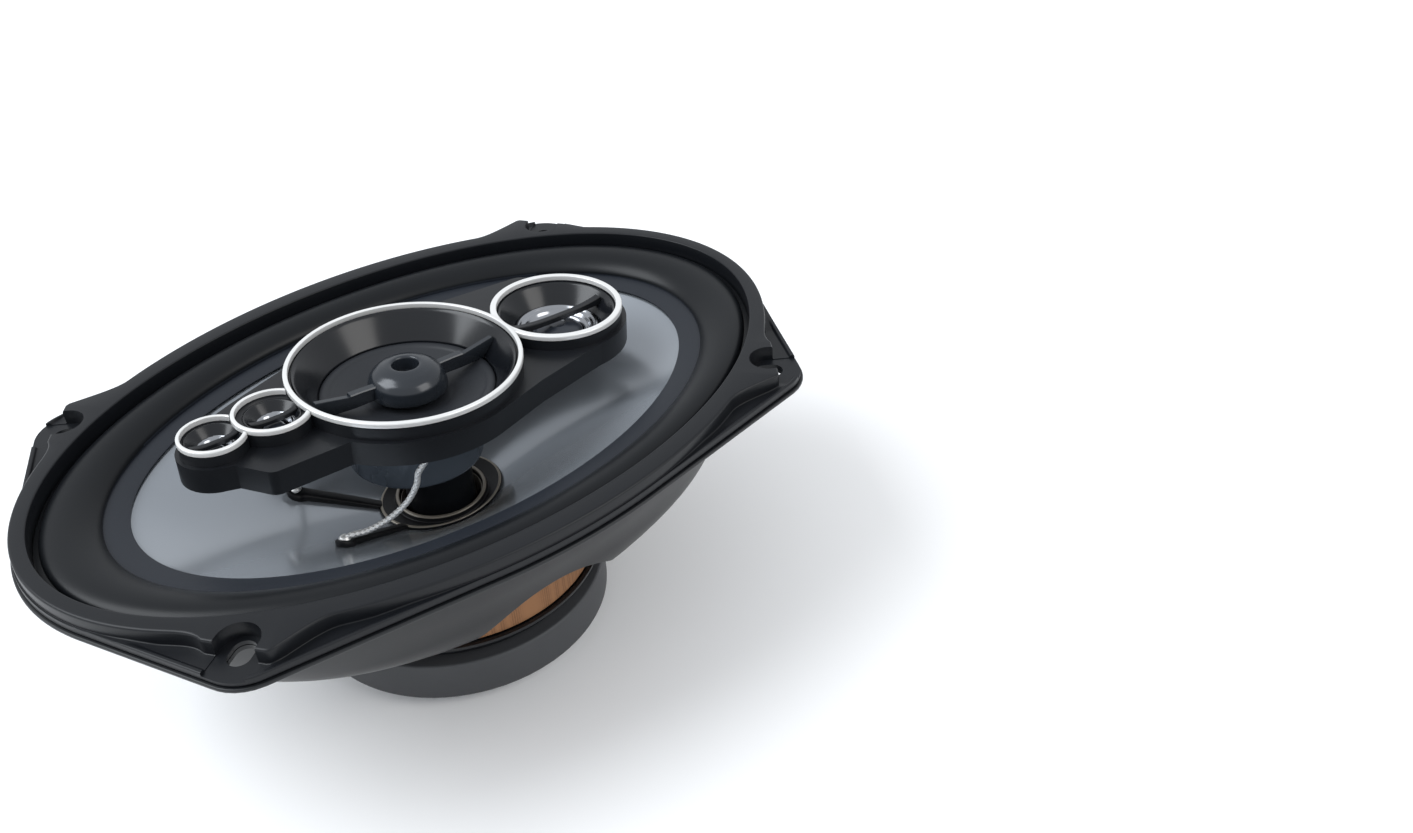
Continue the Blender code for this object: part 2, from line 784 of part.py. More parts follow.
def make_pod():
    """Stem, housing and the four kinds of driver that the pod carries."""
    make_stem()
    plastic = (POD_BLACK, 0.42, 0.0)
    plate = pod_plate_outline()
    housing = stacked("pod_housing", [(plate, PLATE_UNDER), (plate, PLATE_TOP)], plastic)
    collars = []
    for k, driver in enumerate((MID, TWEETER, SUPER_A, SUPER_B)):
        top = SEAT_TOP + driver["lift"]
        count = OVAL_SEGMENTS if driver is MID else ROUND_SEGMENTS
        radius = driver["radius"] - 0.15
        collars.append(cylinder(f"collar_{k}", driver["x"], 0.0, radius, -11.0, top, count=count))
    joined(housing, collars)
    wells = []
    for k, (driver, floor, hole) in enumerate(
        ((MID, -11.0, 22.0), (TWEETER, -10.8, 9.0), (SUPER_A, -8.0, 3.0), (SUPER_B, -8.0, 3.0))
    ):
        x, well = driver["x"], driver["well"]
        wells.append(cylinder(f"well_{k}", x, 0.0, well, floor, 5.0, count=ROUND_SEGMENTS))
        wells.append(cylinder(f"hole_{k}", x, 0.0, hole, -20.0, floor + 1.0, count=ROUND_SEGMENTS))
    cut(housing, wells)
    place_in_pod(housing)
    make_trim_rings()
    make_mid_driver()
    make_tweeter()
    make_super_tweeter("super_tweeter_a", SUPER_A)
    make_super_tweeter("super_tweeter_b", SUPER_B)


def make_stem():
    """Stem from the pole to the pod, with its head cut to the pod's tilt."""
    look = (SATIN_BLACK, 0.5, 0.0)
    top = POD_PLANE + (MOTOR_UNDER - GAP - 0.2) / math.cos(POD_TILT)
    slope = -math.tan(POD_TILT)
    stations = [(BOLT_RADIUS + GAP, POLE_TOP + GAP), (STEM_RADIUS, POLE_TOP + GAP)]
    stations += [(STEM_RADIUS, 58.0), (13.5, top)]
    bm = bmesh.new()
    loops = []
    for r, z in stations:
        loop = []
        for x, y in oval(r, r, ROUND_SEGMENTS):
            height = z + slope * (x - POD_CENTRE_X) if z == top else z
            loop.append(bm.verts.new((x * MM, y * MM, height * MM)))
        loops.append(loop)
    well = [bm.verts.new((v.co.x, v.co.y, (BOLT_TOP + 1.0) * MM)) for v in loops[0]]
    for low, high in zip([well] + loops[:-1], loops):
        for k in range(ROUND_SEGMENTS):
            n = (k + 1) % ROUND_SEGMENTS
            bm.faces.new((low[k], low[n], high[n], high[k]))
    bm.faces.new(well)
    bm.faces.new(loops[-1])
    finish("pod_stem", bm, look)


def trim_ring(name, driver, count):
    """A flat bright ring with softened edges."""
    outer, bore, lift = driver["radius"], driver["bore"], driver["lift"]
    low = SEAT_TOP + GAP
    ring = turned_ring(
        name,
        [
            (outer, low),
            (outer, -0.5),
            (outer - 0.5, 0.0),
            (bore + 0.3, 0.0),
            (bore, -0.3),
            (bore, low),
        ],
        (TRIM_SILVER, 0.28, 0.85),
        count,
    )
    place_in_pod(ring, driver["x"], lift)
    return ring


def make_trim_rings():
    """The four bright rings, each small one cut back where a larger one passes."""
    trim_ring("mid_trim_ring", MID, OVAL_SEGMENTS)
    for name, driver, over in (
        ("tweeter_trim_ring", TWEETER, MID),
        ("super_tweeter_a_trim_ring", SUPER_A, MID),
        ("super_tweeter_b_trim_ring", SUPER_B, SUPER_A),
    ):
        ring = trim_ring(name, driver, ROUND_SEGMENTS)
        reach = over["radius"] + GAP
        tool = cylinder(f"{name}_cut", over["x"], 0.0, reach, -12.0, 6.0, count=OVAL_SEGMENTS)
        place_in_pod(tool)
        cut(ring, [tool])


def make_mid_driver():
    """Midrange: waveguide, diaphragm, motor and the guard over its middle."""
    lift = MID["lift"]
    x = MID["x"]
    guide = turned_ring(
        "mid_waveguide",
        [(32.2, -2.1), (31.6, -2.1), (26.0, -9.4), (26.0, -11.3), (32.2, -11.3)],
        (POD_BLACK, 0.25, 0.0),
        OVAL_SEGMENTS,
    )
    place_in_pod(guide, x, lift)
    diaphragm = turned_ring(
        "mid_diaphragm",
        [(25.6, -9.4), (13.0, -12.2), (4.0, -12.6), (4.0, -13.2), (13.0, -12.9), (25.6, -10.1)],
        ((0.045, 0.048, 0.052), 0.6, 0.0),
    )
    place_in_pod(diaphragm, x, lift)
    motor = turned(
        "mid_motor",
        [(MOTOR_RADIUS - 1.5, MOTOR_UNDER), (MOTOR_RADIUS, MOTOR_UNDER + 1.5), (MOTOR_RADIUS, PLATE_UNDER - GAP)],
        ((0.16, 0.18, 0.21), 0.35, 0.6),
    )
    dish = cylinder("mid_motor_dish", 0, 0, 18.5, -16.0, -5.0, count=ROUND_SEGMENTS)
    cut(motor, [dish])
    place_in_pod(motor, x)
    guard = turned(
        "mid_guard",
        [(9.5, -9.8), (11.7, -8.6), (11.7, -5.6), (10.6, -3.2), (7.2, -1.5), (4.2, -0.9)],
        ((0.06, 0.064, 0.07), 0.4, 0.0),
    )
    fins = [fin_tool("fin_near", 1), fin_tool("fin_far", -1)]
    joined(guard, fins)
    cut(guard, [cylinder("guard_hole", 0, 0, 3.4, -4.0, 4.0)])
    place_in_pod(guard, x, lift)


def fin_tool(name, side):
    """One tapered arm of the guard, from the dome to the waveguide."""
    low = [(9.0, -1.5, -8.9), (9.0, 1.5, -8.9), (25.6, 1.1, -8.6), (25.6, -1.1, -8.6)]
    high = [(9.0, -1.5, -4.4), (9.0, 1.5, -4.4), (27.6, 1.1, -6.4), (27.6, -1.1, -6.4)]
    return block(name, [(x * side, y * side, z) for x, y, z in low + high])


def make_tweeter():
    """Large tweeter: waveguide, reflector, dome, bar and motor."""
    x = TWEETER["x"]
    guide = turned_ring(
        "tweeter_waveguide",
        [(18.2, -2.1), (17.8, -2.1), (13.2, -8.2), (13.2, -10.4), (18.2, -10.4)],
        (POD_BLACK, 0.25, 0.0),
    )
    reflector = turned_ring(
        "tweeter_reflector",
        [(12.9, -7.6), (11.6, -7.6), (8.4, -9.2), (8.4, -10.4), (12.9, -10.4)],
        (CHROME, 0.08, 1.0),
    )
    dome = turned(
        "tweeter_dome",
        [(8.0, -10.2), (7.6, -9.0), (6.0, -7.7), (3.4, -6.9), (1.0, -6.7)],
        ((0.05, 0.055, 0.065), 0.35, 0.0),
        SMALL_SEGMENTS,
    )
    bar = box("tweeter_bar", (-17.6, -1.2, -5.6), (17.4, 1.2, -4.0), (POD_BLACK, 0.4, 0.0))
    cut_ends(bar, 14.8)
    motor = turned(
        "tweeter_motor",
        [(13.0, -19.0), (13.6, -18.4), (13.6, PLATE_UNDER - GAP)],
        (FERRITE, 0.5, 0.15),
        SMALL_SEGMENTS,
    )
    for piece in (guide, reflector, dome, bar, motor):
        place_in_pod(piece, x)


def cut_ends(bar, reach):
    """Round a bar's ends off to fit inside its bore."""
    sleeve = turned_ring(
        f"{bar.name}_sleeve", [(reach, -9.0), (reach + 9.0, -9.0), (reach + 9.0, 3.0), (reach, 3.0)], None
    )
    cut(bar, [sleeve])


def make_super_tweeter(name, driver):
    """Small tweeter: reflector cup, dome and bar."""
    bore = driver["well"] - GAP
    lift = driver["lift"]
    inner = bore * 0.42
    cup = turned_ring(
        f"{name}_reflector",
        [
            (bore, SEAT_TOP - 0.2),
            (bore - 0.5, SEAT_TOP - 0.2),
            (bore * 0.62, -5.2),
            (inner + 0.4, -5.8),
            (inner + 0.4, -7.4),
            (bore, -7.4),
        ],
        (CHROME, 0.1, 1.0),
        SMALL_SEGMENTS,
    )
    dome = turned(
        f"{name}_dome",
        [(inner, -7.1), (inner - 0.3, -5.9), (inner - 1.6, -5.2), (0.6, -4.9)],
        ((0.05, 0.055, 0.065), 0.35, 0.0),
        18,
    )
    reach = bore * 0.7
    bar = box(f"{name}_bar", (-bore, -1.0, -3.9), (bore, 1.0, -2.7), (POD_BLACK, 0.4, 0.0))
    cut_ends(bar, reach)
    for piece in (cup, dome, bar):
        place_in_pod(piece, driver["x"], lift)


def main():
    """Build the loudspeaker."""
    clear_scene()
    make_motor()
    make_basket()
    make_gasket_ring()
    make_cone_assembly()
    make_front_leads()
    make_terminals()
    make_pod()


main()
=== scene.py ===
import math

import bmesh
import bpy
import numpy as np
from mathutils import Matrix, Vector


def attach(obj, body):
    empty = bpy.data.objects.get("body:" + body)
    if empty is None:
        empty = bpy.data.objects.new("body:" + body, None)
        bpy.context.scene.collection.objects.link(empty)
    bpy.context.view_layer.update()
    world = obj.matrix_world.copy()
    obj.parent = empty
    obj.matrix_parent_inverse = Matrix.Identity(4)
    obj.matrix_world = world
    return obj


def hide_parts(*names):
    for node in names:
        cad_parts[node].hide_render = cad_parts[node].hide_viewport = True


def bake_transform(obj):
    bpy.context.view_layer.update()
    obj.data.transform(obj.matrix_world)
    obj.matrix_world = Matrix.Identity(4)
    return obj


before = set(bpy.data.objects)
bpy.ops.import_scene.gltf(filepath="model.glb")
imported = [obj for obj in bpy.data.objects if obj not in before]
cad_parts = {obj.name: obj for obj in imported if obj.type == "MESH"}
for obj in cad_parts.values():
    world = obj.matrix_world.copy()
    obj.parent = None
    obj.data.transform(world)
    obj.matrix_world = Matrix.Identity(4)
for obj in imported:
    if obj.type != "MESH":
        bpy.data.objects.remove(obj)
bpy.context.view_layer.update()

MM = 0.001
N = 320
ROUND = 144

# Sizes shared with the CAD model, in millimetres -------------------------------------

POD_TILT = math.radians(4.1)
POD_PLANE = 96.7
POD_X = -2.73
EARS = [(sx * 85.7, sy * 60.4) for sx in (-1, 1) for sy in (-1, 1)]
MID = {"x": 0.0, "radius": 34.5, "bore": 33.1, "well": 32.5, "lift": 0.8}
TWEETER = {"x": 53.8, "radius": 20.65, "bore": 18.7, "well": 18.5, "lift": 0.0}
SUPER_A = {"x": -41.5, "radius": 11.0, "bore": 9.8, "well": 8.1, "lift": 0.5}
SUPER_B = {"x": -58.7, "radius": 9.35, "bore": 8.3, "well": 7.9, "lift": 0.0}
CAN_RADIUS = 20.3
CAN_UNDER = -32.0
FLANGE_UNDER = 77.5
FLANGE_TOP = 78.7
RING_UNDER = 79.0
RING_LEDGE = 81.2
RING_TOP = 85.0
POCKET_FLOOR = 80.2
EYELET = (-39.2, 15.6)
GAP = 0.3
BASKET_WALL = 1.2
BASKET_FLOOR = 21.9
BASKET_BORE = 16.5
RIM_LONG, RIM_WIDE = 118.5, 81.9
EAR_RADIUS = 12.6
EAR_INSET = 3.0
SCREW_RADIUS = 3.1
SCREW_STRETCH = 2.4
POCKET_RADIUS = 5.8
WINDOW_SILL = 24.2
MAGNET_RADIUS = 48.5
NECK_REACH = 18.6
SEAL_RADIUS = 2.85


# Mesh helpers ------------------------------------------------------------------------


def oval(a, b, z, count=N):
    t = np.arange(count) * (2 * math.pi / count)
    return np.stack([a * np.cos(t), b * np.sin(t), np.full(count, float(z))], 1)


def fillet(rows, radius, steps=4, closed=True):
    """Round every corner of a run of rows, each row being one station's points."""
    out = []
    last = len(rows) - 1
    for k, here in enumerate(rows):
        if not closed and k in (0, last):
            out.append(here)
            continue
        before = rows[k - 1]
        after = rows[(k + 1) % len(rows)]
        d0 = np.linalg.norm(before - here, axis=1, keepdims=True)
        d1 = np.linalg.norm(after - here, axis=1, keepdims=True)
        r = radius[k] if isinstance(radius, (list, tuple)) else radius
        if r <= 0:
            out.append(here)
            continue
        p0 = here + (before - here) / d0 * np.minimum(r, d0 * 0.45)
        p1 = here + (after - here) / d1 * np.minimum(r, d1 * 0.45)
        for s in range(steps + 1):
            t = s / steps
            out.append(p0 * (1 - t) ** 2 + here * (2 * t * (1 - t)) + p1 * t * t)
    return out


def to_object(name, verts, faces):
    mesh = bpy.data.meshes.new(name)
    mesh.from_pydata((np.asarray(verts) * MM).tolist(), [], faces)
    bm = bmesh.new()
    bm.from_mesh(mesh)
    bmesh.ops.recalc_face_normals(bm, faces=bm.faces)
    if bm.calc_volume(signed=True) < 0:
        bmesh.ops.reverse_faces(bm, faces=bm.faces)
    bm.to_mesh(mesh)
    bm.free()
    obj = bpy.data.objects.new(name, mesh)
    bpy.context.scene.collection.objects.link(obj)
    shade(obj)
    return obj


def shade(obj, angle=34):
    obj.data.shade_smooth()
    obj.data.set_sharp_from_angle(angle=math.radians(angle))


def loft(name, rows, closed=True, caps=False):
    """Bridge rows of points; closed joins the last row to the first."""
    count = len(rows[0])
    verts = np.concatenate(rows)
    faces = []
    spans = len(rows) if closed else len(rows) - 1
    ring = np.arange(count)
    nxt = (ring + 1) % count
    for k in range(spans):
        a, b = k * count, ((k + 1) % len(rows)) * count
        quad = np.stack([ring + a, nxt + a, nxt + b, ring + b], 1)
        faces += quad.tolist()
    if caps:
        faces.append(list(range(count))[::-1])
        faces.append(list(range((len(rows) - 1) * count, len(rows) * count)))
    return to_object(name, verts, faces)


def oval_ring(name, stations, radius=0.3, steps=3, count=N):
    rows = [oval(a, b, z, count) for a, b, z in stations]
    return loft(name, fillet(rows, radius, steps))


def turned_ring(name, stations, radius=0.3, steps=3, count=ROUND):
    return oval_ring(name, [(r, r, z) for r, z in stations], radius, steps, count)


def turned(name, stations, radius=0.3, steps=3, count=ROUND):
    """A solid of revolution from (radius, z) between two flat ends."""
    rows = [oval(r, r, z, count) for r, z in stations]
    return loft(name, fillet(rows, radius, steps, closed=False), closed=False, caps=True)


def prism(name, outline, z0, z1, edge=0.0):
    flat = np.array([(x, y, 0.0) for x, y in outline])
    low = flat + (0, 0, z0)
    high = flat + (0, 0, z1)
    if edge:
        middle = flat.mean(0)
        size = np.linalg.norm(flat - middle, axis=1, keepdims=True)
        inset = flat - (flat - middle) / size * edge
        rows = [inset + (0, 0, z0), low + (0, 0, edge), high - (0, 0, edge), inset + (0, 0, z1)]
    else:
        rows = [low, high]
    return loft(name, rows, closed=False, caps=True)


def disc(x, y, radius, count=ROUND):
    t = np.arange(count) * (2 * math.pi / count)
    return list(zip(x + radius * np.cos(t), y + radius * np.sin(t)))


def cylinder(name, x, y, radius, z0, z1, count=ROUND):
    return prism(name, disc(x, y, radius, count), z0, z1)


def box(name, low, high):
    (x0, y0, z0), (x1, y1, z1) = low, high
    return prism(name, [(x0, y0), (x1, y0), (x1, y1), (x0, y1)], z0, z1)


def settle(obj):
    """Bake every modifier into the mesh."""
    bpy.context.view_layer.update()
    graph = bpy.context.evaluated_depsgraph_get()
    mesh = bpy.data.meshes.new_from_object(obj.evaluated_get(graph))
    obj.modifiers.clear()
    obj.data = mesh
    return obj


def boolean(obj, tools, operation):
    for tool in tools:
        mod = obj.modifiers.new(tool.name, "BOOLEAN")
        mod.operation = operation
        mod.solver = "EXACT"
        mod.object = tool
    settle(obj)
    for tool in tools:
        bpy.data.objects.remove(tool, do_unlink=True)
    bm = bmesh.new()
    bm.from_mesh(obj.data)
    bmesh.ops.remove_doubles(bm, verts=bm.verts, dist=0.00002)
    bmesh.ops.dissolve_degenerate(bm, edges=bm.edges, dist=0.00002)
    bm.to_mesh(obj.data)
    bm.free()
    shade(obj)
    return obj


def cut(obj, *tools):
    return boolean(obj, tools, "DIFFERENCE")


def join(obj, *tools):
    return boolean(obj, tools, "UNION")


def soften(obj, width=0.3, segments=2, angle=40):
    """Rounded edges where faces meet sharply."""
    mod = obj.modifiers.new("edge", "BEVEL")
    mod.width = width * MM
    mod.segments = segments
    mod.limit_method = "ANGLE"
    mod.angle_limit = math.radians(angle)
    mod.use_clamp_overlap = True
    mod.loop_slide = True
    settle(obj)
    shade(obj, 40)
    return obj


def place(obj, body, nodes, mat):
    """Give a piece its material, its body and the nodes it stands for."""
    obj.data.materials.clear()
    obj.data.materials.append(mat)
    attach(obj, body)
    if nodes:
        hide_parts(*nodes)
    return obj


def in_pod(obj, x=0.0, z=0.0):
    """Move a mesh modelled about its own axis to its seat in the tilted pod."""
    seat = Matrix.Translation((POD_X * MM, 0.0, POD_PLANE * MM))
    seat = seat @ Matrix.Rotation(POD_TILT, 4, "Y")
    obj.data.transform(seat @ Matrix.Translation((x * MM, 0.0, z * MM)))
    return obj


# Materials ---------------------------------------------------------------------------


def grain_material(name, colour, rough, metallic=0.0, fine=2500.0, bump=0.15, spread=0.06,
                   tint=0.12, coat=0.0, specular=0.5, depth=0.00008):
    """Principled surface with fine grain, soft colour drift and worn gloss."""
    mat = bpy.data.materials.new(name)
    mat.use_nodes = True
    nodes, links = mat.node_tree.nodes, mat.node_tree.links
    shader = nodes["Principled BSDF"]
    shader.inputs["Metallic"].default_value = metallic
    shader.inputs["Coat Weight"].default_value = coat
    shader.inputs["Coat Roughness"].default_value = 0.12
    shader.inputs["Specular IOR Level"].default_value = specular
    place_in = nodes.new("ShaderNodeTexCoord")
    wide = nodes.new("ShaderNodeTexNoise")
    wide.inputs["Scale"].default_value = 45.0
    wide.inputs["Detail"].default_value = 4.0
    links.new(place_in.outputs["Object"], wide.inputs["Vector"])
    ramp = nodes.new("ShaderNodeMix")
    ramp.data_type = "RGBA"
    ramp.inputs[6].default_value = (*[c * (1 - tint) for c in colour], 1.0)
    ramp.inputs[7].default_value = (*[min(1.0, c * (1 + tint)) for c in colour], 1.0)
    links.new(wide.outputs["Fac"], ramp.inputs[0])
    links.new(ramp.outputs[2], shader.inputs["Base Color"])
    small = nodes.new("ShaderNodeTexNoise")
    small.inputs["Scale"].default_value = fine
    small.inputs["Detail"].default_value = 3.0
    links.new(place_in.outputs["Object"], small.inputs["Vector"])
    gloss = nodes.new("ShaderNodeMapRange")
    gloss.inputs["To Min"].default_value = max(0.02, rough - spread)
    gloss.inputs["To Max"].default_value = min(1.0, rough + spread)
    links.new(wide.outputs["Fac"], gloss.inputs["Value"])
    links.new(gloss.outputs["Result"], shader.inputs["Roughness"])
    if bump:
        relief = nodes.new("ShaderNodeBump")
        relief.inputs["Strength"].default_value = bump
        relief.inputs["Distance"].default_value = depth
        links.new(small.outputs["Fac"], relief.inputs["Height"])
        links.new(relief.outputs["Normal"], shader.inputs["Normal"])
    return mat


def cloth_material(name, light, dark):
    """Open woven cloth, stiffened with resin."""
    mat = grain_material(name, light, 0.85, fine=1500.0, bump=0.0)
    nodes, links = mat.node_tree.nodes, mat.node_tree.links
    shader = nodes["Principled BSDF"]
    where = nodes.new("ShaderNodeTexCoord")
    waves = []
    for axis in ("X", "Y"):
        wave = nodes.new("ShaderNodeTexWave")
        wave.wave_type = "BANDS"
        wave.bands_direction = axis
        wave.inputs["Scale"].default_value = 420.0
        wave.inputs["Distortion"].default_value = 0.6
        links.new(where.outputs["Object"], wave.inputs["Vector"])
        waves.append(wave)
    weave = nodes.new("ShaderNodeMath")
    weave.operation = "MAXIMUM"
    links.new(waves[0].outputs["Fac"], weave.inputs[0])
    links.new(waves[1].outputs["Fac"], weave.inputs[1])
    shades = nodes.new("ShaderNodeMix")
    shades.data_type = "RGBA"
    shades.inputs[6].default_value = (*dark, 1.0)
    shades.inputs[7].default_value = (*light, 1.0)
    links.new(weave.outputs[0], shades.inputs[0])
    links.new(shades.outputs[2], shader.inputs["Base Color"])
    relief = nodes.new("ShaderNodeBump")
    relief.inputs["Strength"].default_value = 0.5
    relief.inputs["Distance"].default_value = 0.0002
    links.new(weave.outputs[0], relief.inputs["Height"])
    links.new(relief.outputs["Normal"], shader.inputs["Normal"])
    return mat


BASKET = grain_material("basket_paint", (0.007, 0.008, 0.0095), 0.36, 0.0, 1600, 0.2, 0.06, specular=0.35)
PLASTIC = grain_material("front_plastic", (0.006, 0.007, 0.009), 0.36, 0.0, 3200, 0.2, 0.06, specular=0.28)
RUBBER = grain_material("surround_rubber", (0.005, 0.006, 0.0075), 0.34, 0.0, 2200, 0.08, 0.05, specular=0.22)
BAND = grain_material("surround_band", (0.012, 0.015, 0.021), 0.42, 0.0, 2600, 0.25, 0.05, specular=0.3)
CONE = grain_material("cone_silver", (0.30, 0.325, 0.355), 0.20, 0.55, 5200, 0.04, 0.03, 0.03, coat=0.35)
COLLAR = grain_material("collar_black", (0.006, 0.006, 0.007), 0.4, 0.0, 900, 0.4, 0.08, specular=0.25)
SPIDER = cloth_material("spider_cloth", (0.26, 0.125, 0.055), (0.17, 0.078, 0.034))
FORMER = grain_material("former_film", (0.20, 0.18, 0.15), 0.35, 0.35, 900, 0.1, 0.05)
COPPER = grain_material("winding_copper", (0.62, 0.27, 0.12), 0.35, 0.9, 1800, 0.3, 0.05)
FERRITE = grain_material("ferrite_grey", (0.050, 0.052, 0.056), 0.5, 0.0, 2400, 0.35, 0.07, specular=0.35)
STEEL = grain_material("plated_steel", (0.40, 0.41, 0.43), 0.34, 0.95, 1500, 0.12, 0.08)
POD = grain_material("pod_plastic", (0.008, 0.009, 0.011), 0.34, 0.0, 3600, 0.15, 0.05, specular=0.28)
GLOSS = grain_material("guard_gloss", (0.018, 0.022, 0.028), 0.22, 0.2, 2400, 0.03, 0.04, specular=0.6)
GUIDE = grain_material("waveguide_plastic", (0.006, 0.007, 0.009), 0.2, 0.0, 3000, 0.05, 0.04, specular=0.4)
TRIM = grain_material("trim_silver", (0.76, 0.76, 0.75), 0.3, 0.35, 3000, 0.05, 0.03, 0.02)
CHROME = grain_material("chrome_plating", (0.34, 0.35, 0.37), 0.16, 1.0, 900, 0.03, 0.02, 0.02)
DOME = grain_material("dome_film", (0.020, 0.024, 0.032), 0.28, 0.1, 1800, 0.08, 0.05)
PULP = grain_material("coated_pulp", (0.018, 0.020, 0.024), 0.45, 0.0, 1700, 0.35, 0.06, specular=0.35)
CAN = grain_material("mid_can", (0.085, 0.102, 0.125), 0.26, 0.35, 1400, 0.06, 0.06)
BRAID = grain_material("lead_braid", (0.70, 0.70, 0.69), 0.4, 0.7, 2500, 0.2, 0.06)
BOARD = grain_material("board_brown", (0.060, 0.040, 0.024), 0.55, 0.0, 1400, 0.3, 0.06)
SLEEVE = grain_material("capacitor_sleeve", (0.02, 0.03, 0.06), 0.3, 0.0, 900, 0.05, 0.04)


# Eared outline -----------------------------------------------------------------------


def convex_hull(points):
    ordered = sorted(map(tuple, points))

    def half(run):
        chain = []
        for p in run:
            while len(chain) > 1:
                (ax, ay), (bx, by) = chain[-2], chain[-1]
                if (bx - ax) * (p[1] - ay) - (by - ay) * (p[0] - ax) > 0:
                    break
                chain.pop()
            chain.append(p)
        return chain[:-1]

    return half(ordered) + half(ordered[::-1])


def eared_radius(margin, ear=EAR_RADIUS, inset=EAR_INSET):
    """Polar reach of the rim with its ears, as a function of direction."""
    points = [tuple(p[:2]) for p in oval(RIM_LONG + margin, RIM_WIDE + margin, 0, 1440)]
    for x, y in EARS:
        inward = 1 - inset / math.hypot(x, y)
        points += disc(x * inward, y * inward, ear + margin, 240)
    hull = np.array(convex_hull(points))
    ends = np.roll(hull, -1, axis=0)
    dense = []
    for p, q in zip(hull, ends):
        steps = max(1, int(np.linalg.norm(q - p) / 0.3))
        dense += [p + (q - p) * s / steps for s in range(steps)]
    dense = np.array(dense)
    angle = np.arctan2(dense[:, 1], dense[:, 0])
    order = np.argsort(angle)
    reach = np.hypot(dense[:, 0], dense[:, 1])
    return angle[order], reach[order]


def eared(margin, z, count=N):
    angle, reach = eared_radius(margin)
    base = oval(118.5, 81.9, z, count)
    way = np.arctan2(base[:, 1], base[:, 0])
    r = np.interp(way, angle, reach, period=2 * math.pi)
    return np.stack([r * np.cos(way), r * np.sin(way), base[:, 2]], 1)


def slot_tool(name, x, y, radius, stretch, z0, z1, count=64):
    length = math.hypot(x, y)
    wx, wy = x / length, y / length
    outline = []
    for k in range(count):
        t = 2 * math.pi * k / count
        push = stretch / 2 if math.cos(t) > 0 else -stretch / 2
        u, v = radius * math.cos(t) + push, radius * math.sin(t)
        outline.append((x + wx * u - wy * v, y + wy * u + wx * v))
    return prism(name, outline, z0, z1)


# Basket and front trim ---------------------------------------------------------------


def window_tool(name, turn, half, rise, count=40):
    profile = [(half, WINDOW_SILL), (-half, WINDOW_SILL)]
    for k in range(count + 1):
        across = -half + 2 * half * k / count
        arch = max(0.0, math.cos(across / half * math.pi / 2)) ** 0.6
        profile.append((across, 25.0 + rise * arch))
    rows = []
    for reach in (34.0, 68.0):
        rows.append(np.array([
            (reach * math.cos(turn) - a * math.sin(turn), reach * math.sin(turn) + a * math.cos(turn), z)
            for a, z in profile
        ]))
    return loft(name, rows, closed=False, caps=True)


# Half length, half width, height and squareness of the wall's outside, and how far
# its inside rises above it
WALL = [
    (47.3, 47.3, 21.9, 2.0, 1.2),
    (48.5, 48.5, 23.1, 2.0, 1.0),
    (48.5, 48.5, 34.6, 2.0, 1.2),
    (53.5, 53.5, 35.3, 2.0, 0.7),
    (69.0, 58.6, 38.5, 2.5, 0.9),
    (86.5, 61.8, 45.5, 2.65, 0.8),
    (99.0, 65.0, 54.0, 2.35, 0.7),
    (107.2, 70.6, 64.5, 2.1, 0.6),
    (112.8, 76.0, 77.5, 2.0, 1.2),
]


# Half breadth and arch of each window; the one below the lead slot stays lower
WINDOWS = [(26.0, 9.6), (32.0, 19.0), (26.0, 9.6), (32.0, 26.0)]


def section(a, b, z, square):
    """An oval whose sides flatten as square grows past 2."""
    flat = oval(1.0, 1.0, 0.0)
    row = np.sign(flat) * np.abs(flat) ** (2 / square)
    return row * (a, b, 0) + (0, 0, z)


def make_basket():
    rows = [oval(BASKET_BORE, BASKET_BORE, BASKET_FLOOR)]
    rows += [section(a, b, z, square) for a, b, z, square, _ in WALL]
    rows += [eared(0.8, FLANGE_UNDER), eared(0.8, FLANGE_TOP)]
    rows += [
        section(a - BASKET_WALL, b - BASKET_WALL, z + rise, square)
        for a, b, z, square, rise in WALL[::-1]
    ]
    rows += [oval(BASKET_BORE, BASKET_BORE, 23.1)]
    radii = [0.2, 1.2, 0.8, 1.0, 1.0, 6.0, 10.0, 12.0, 10.0, 1.4, 0.5]
    radii += [0.5, 1.2, 10.0, 12.0, 10.0, 6.0, 0.8, 0.8, 0.6, 0.8, 0.2]
    basket = loft("basket_shell", fillet(rows, radii, 5))
    tools = [
        window_tool(f"w{k}", math.radians(90 * k), half, rise)
        for k, (half, rise) in enumerate(WINDOWS)
    ]
    tools += [
        slot_tool(f"s{k}", x, y, SCREW_RADIUS, SCREW_STRETCH, 73, 82)
        for k, (x, y) in enumerate(EARS)
    ]
    tools.append(box("lead", (-8.0, 52.0, 50.0), (8.0, 72.0, 57.0)))
    cut(basket, *tools)
    place(basket, "frame", ["basket"], BASKET)


def crown_rows(ledge):
    """Foot of the raised oval, which swells into a pair of horns round each screw."""
    foot = oval(118.0, 81.4, RING_LEDGE, len(ledge))
    reach = np.linalg.norm(foot[:, :2], axis=1)
    for x, y in EARS:
        far = math.hypot(x, y)
        way = np.array((x, y)) / far
        along = foot[:, :2] @ way / reach
        aside = np.abs(foot[:, :2] @ np.array((-way[1], way[0])))
        fade = np.clip((aside - 8.6) / 11.5, 0, 1)
        share = np.where(along > 0, (1 - fade) ** 2.2, 0)
        tip = (far + 2.0) / np.maximum(along, 0.5)
        reach = reach + (np.maximum(tip, reach) - reach) * share
    reach = np.minimum(reach, np.linalg.norm(ledge[:, :2], axis=1) - 0.3)
    foot[:, :2] *= (reach / np.linalg.norm(foot[:, :2], axis=1))[:, None]
    return foot


def shrunk(rows, by, z):
    """A row pulled towards the middle by a length for each point, at height z."""
    far = np.linalg.norm(rows[:, :2], axis=1)
    out = rows.copy()
    out[:, :2] *= ((far - by) / far)[:, None]
    out[:, 2] = z
    return out


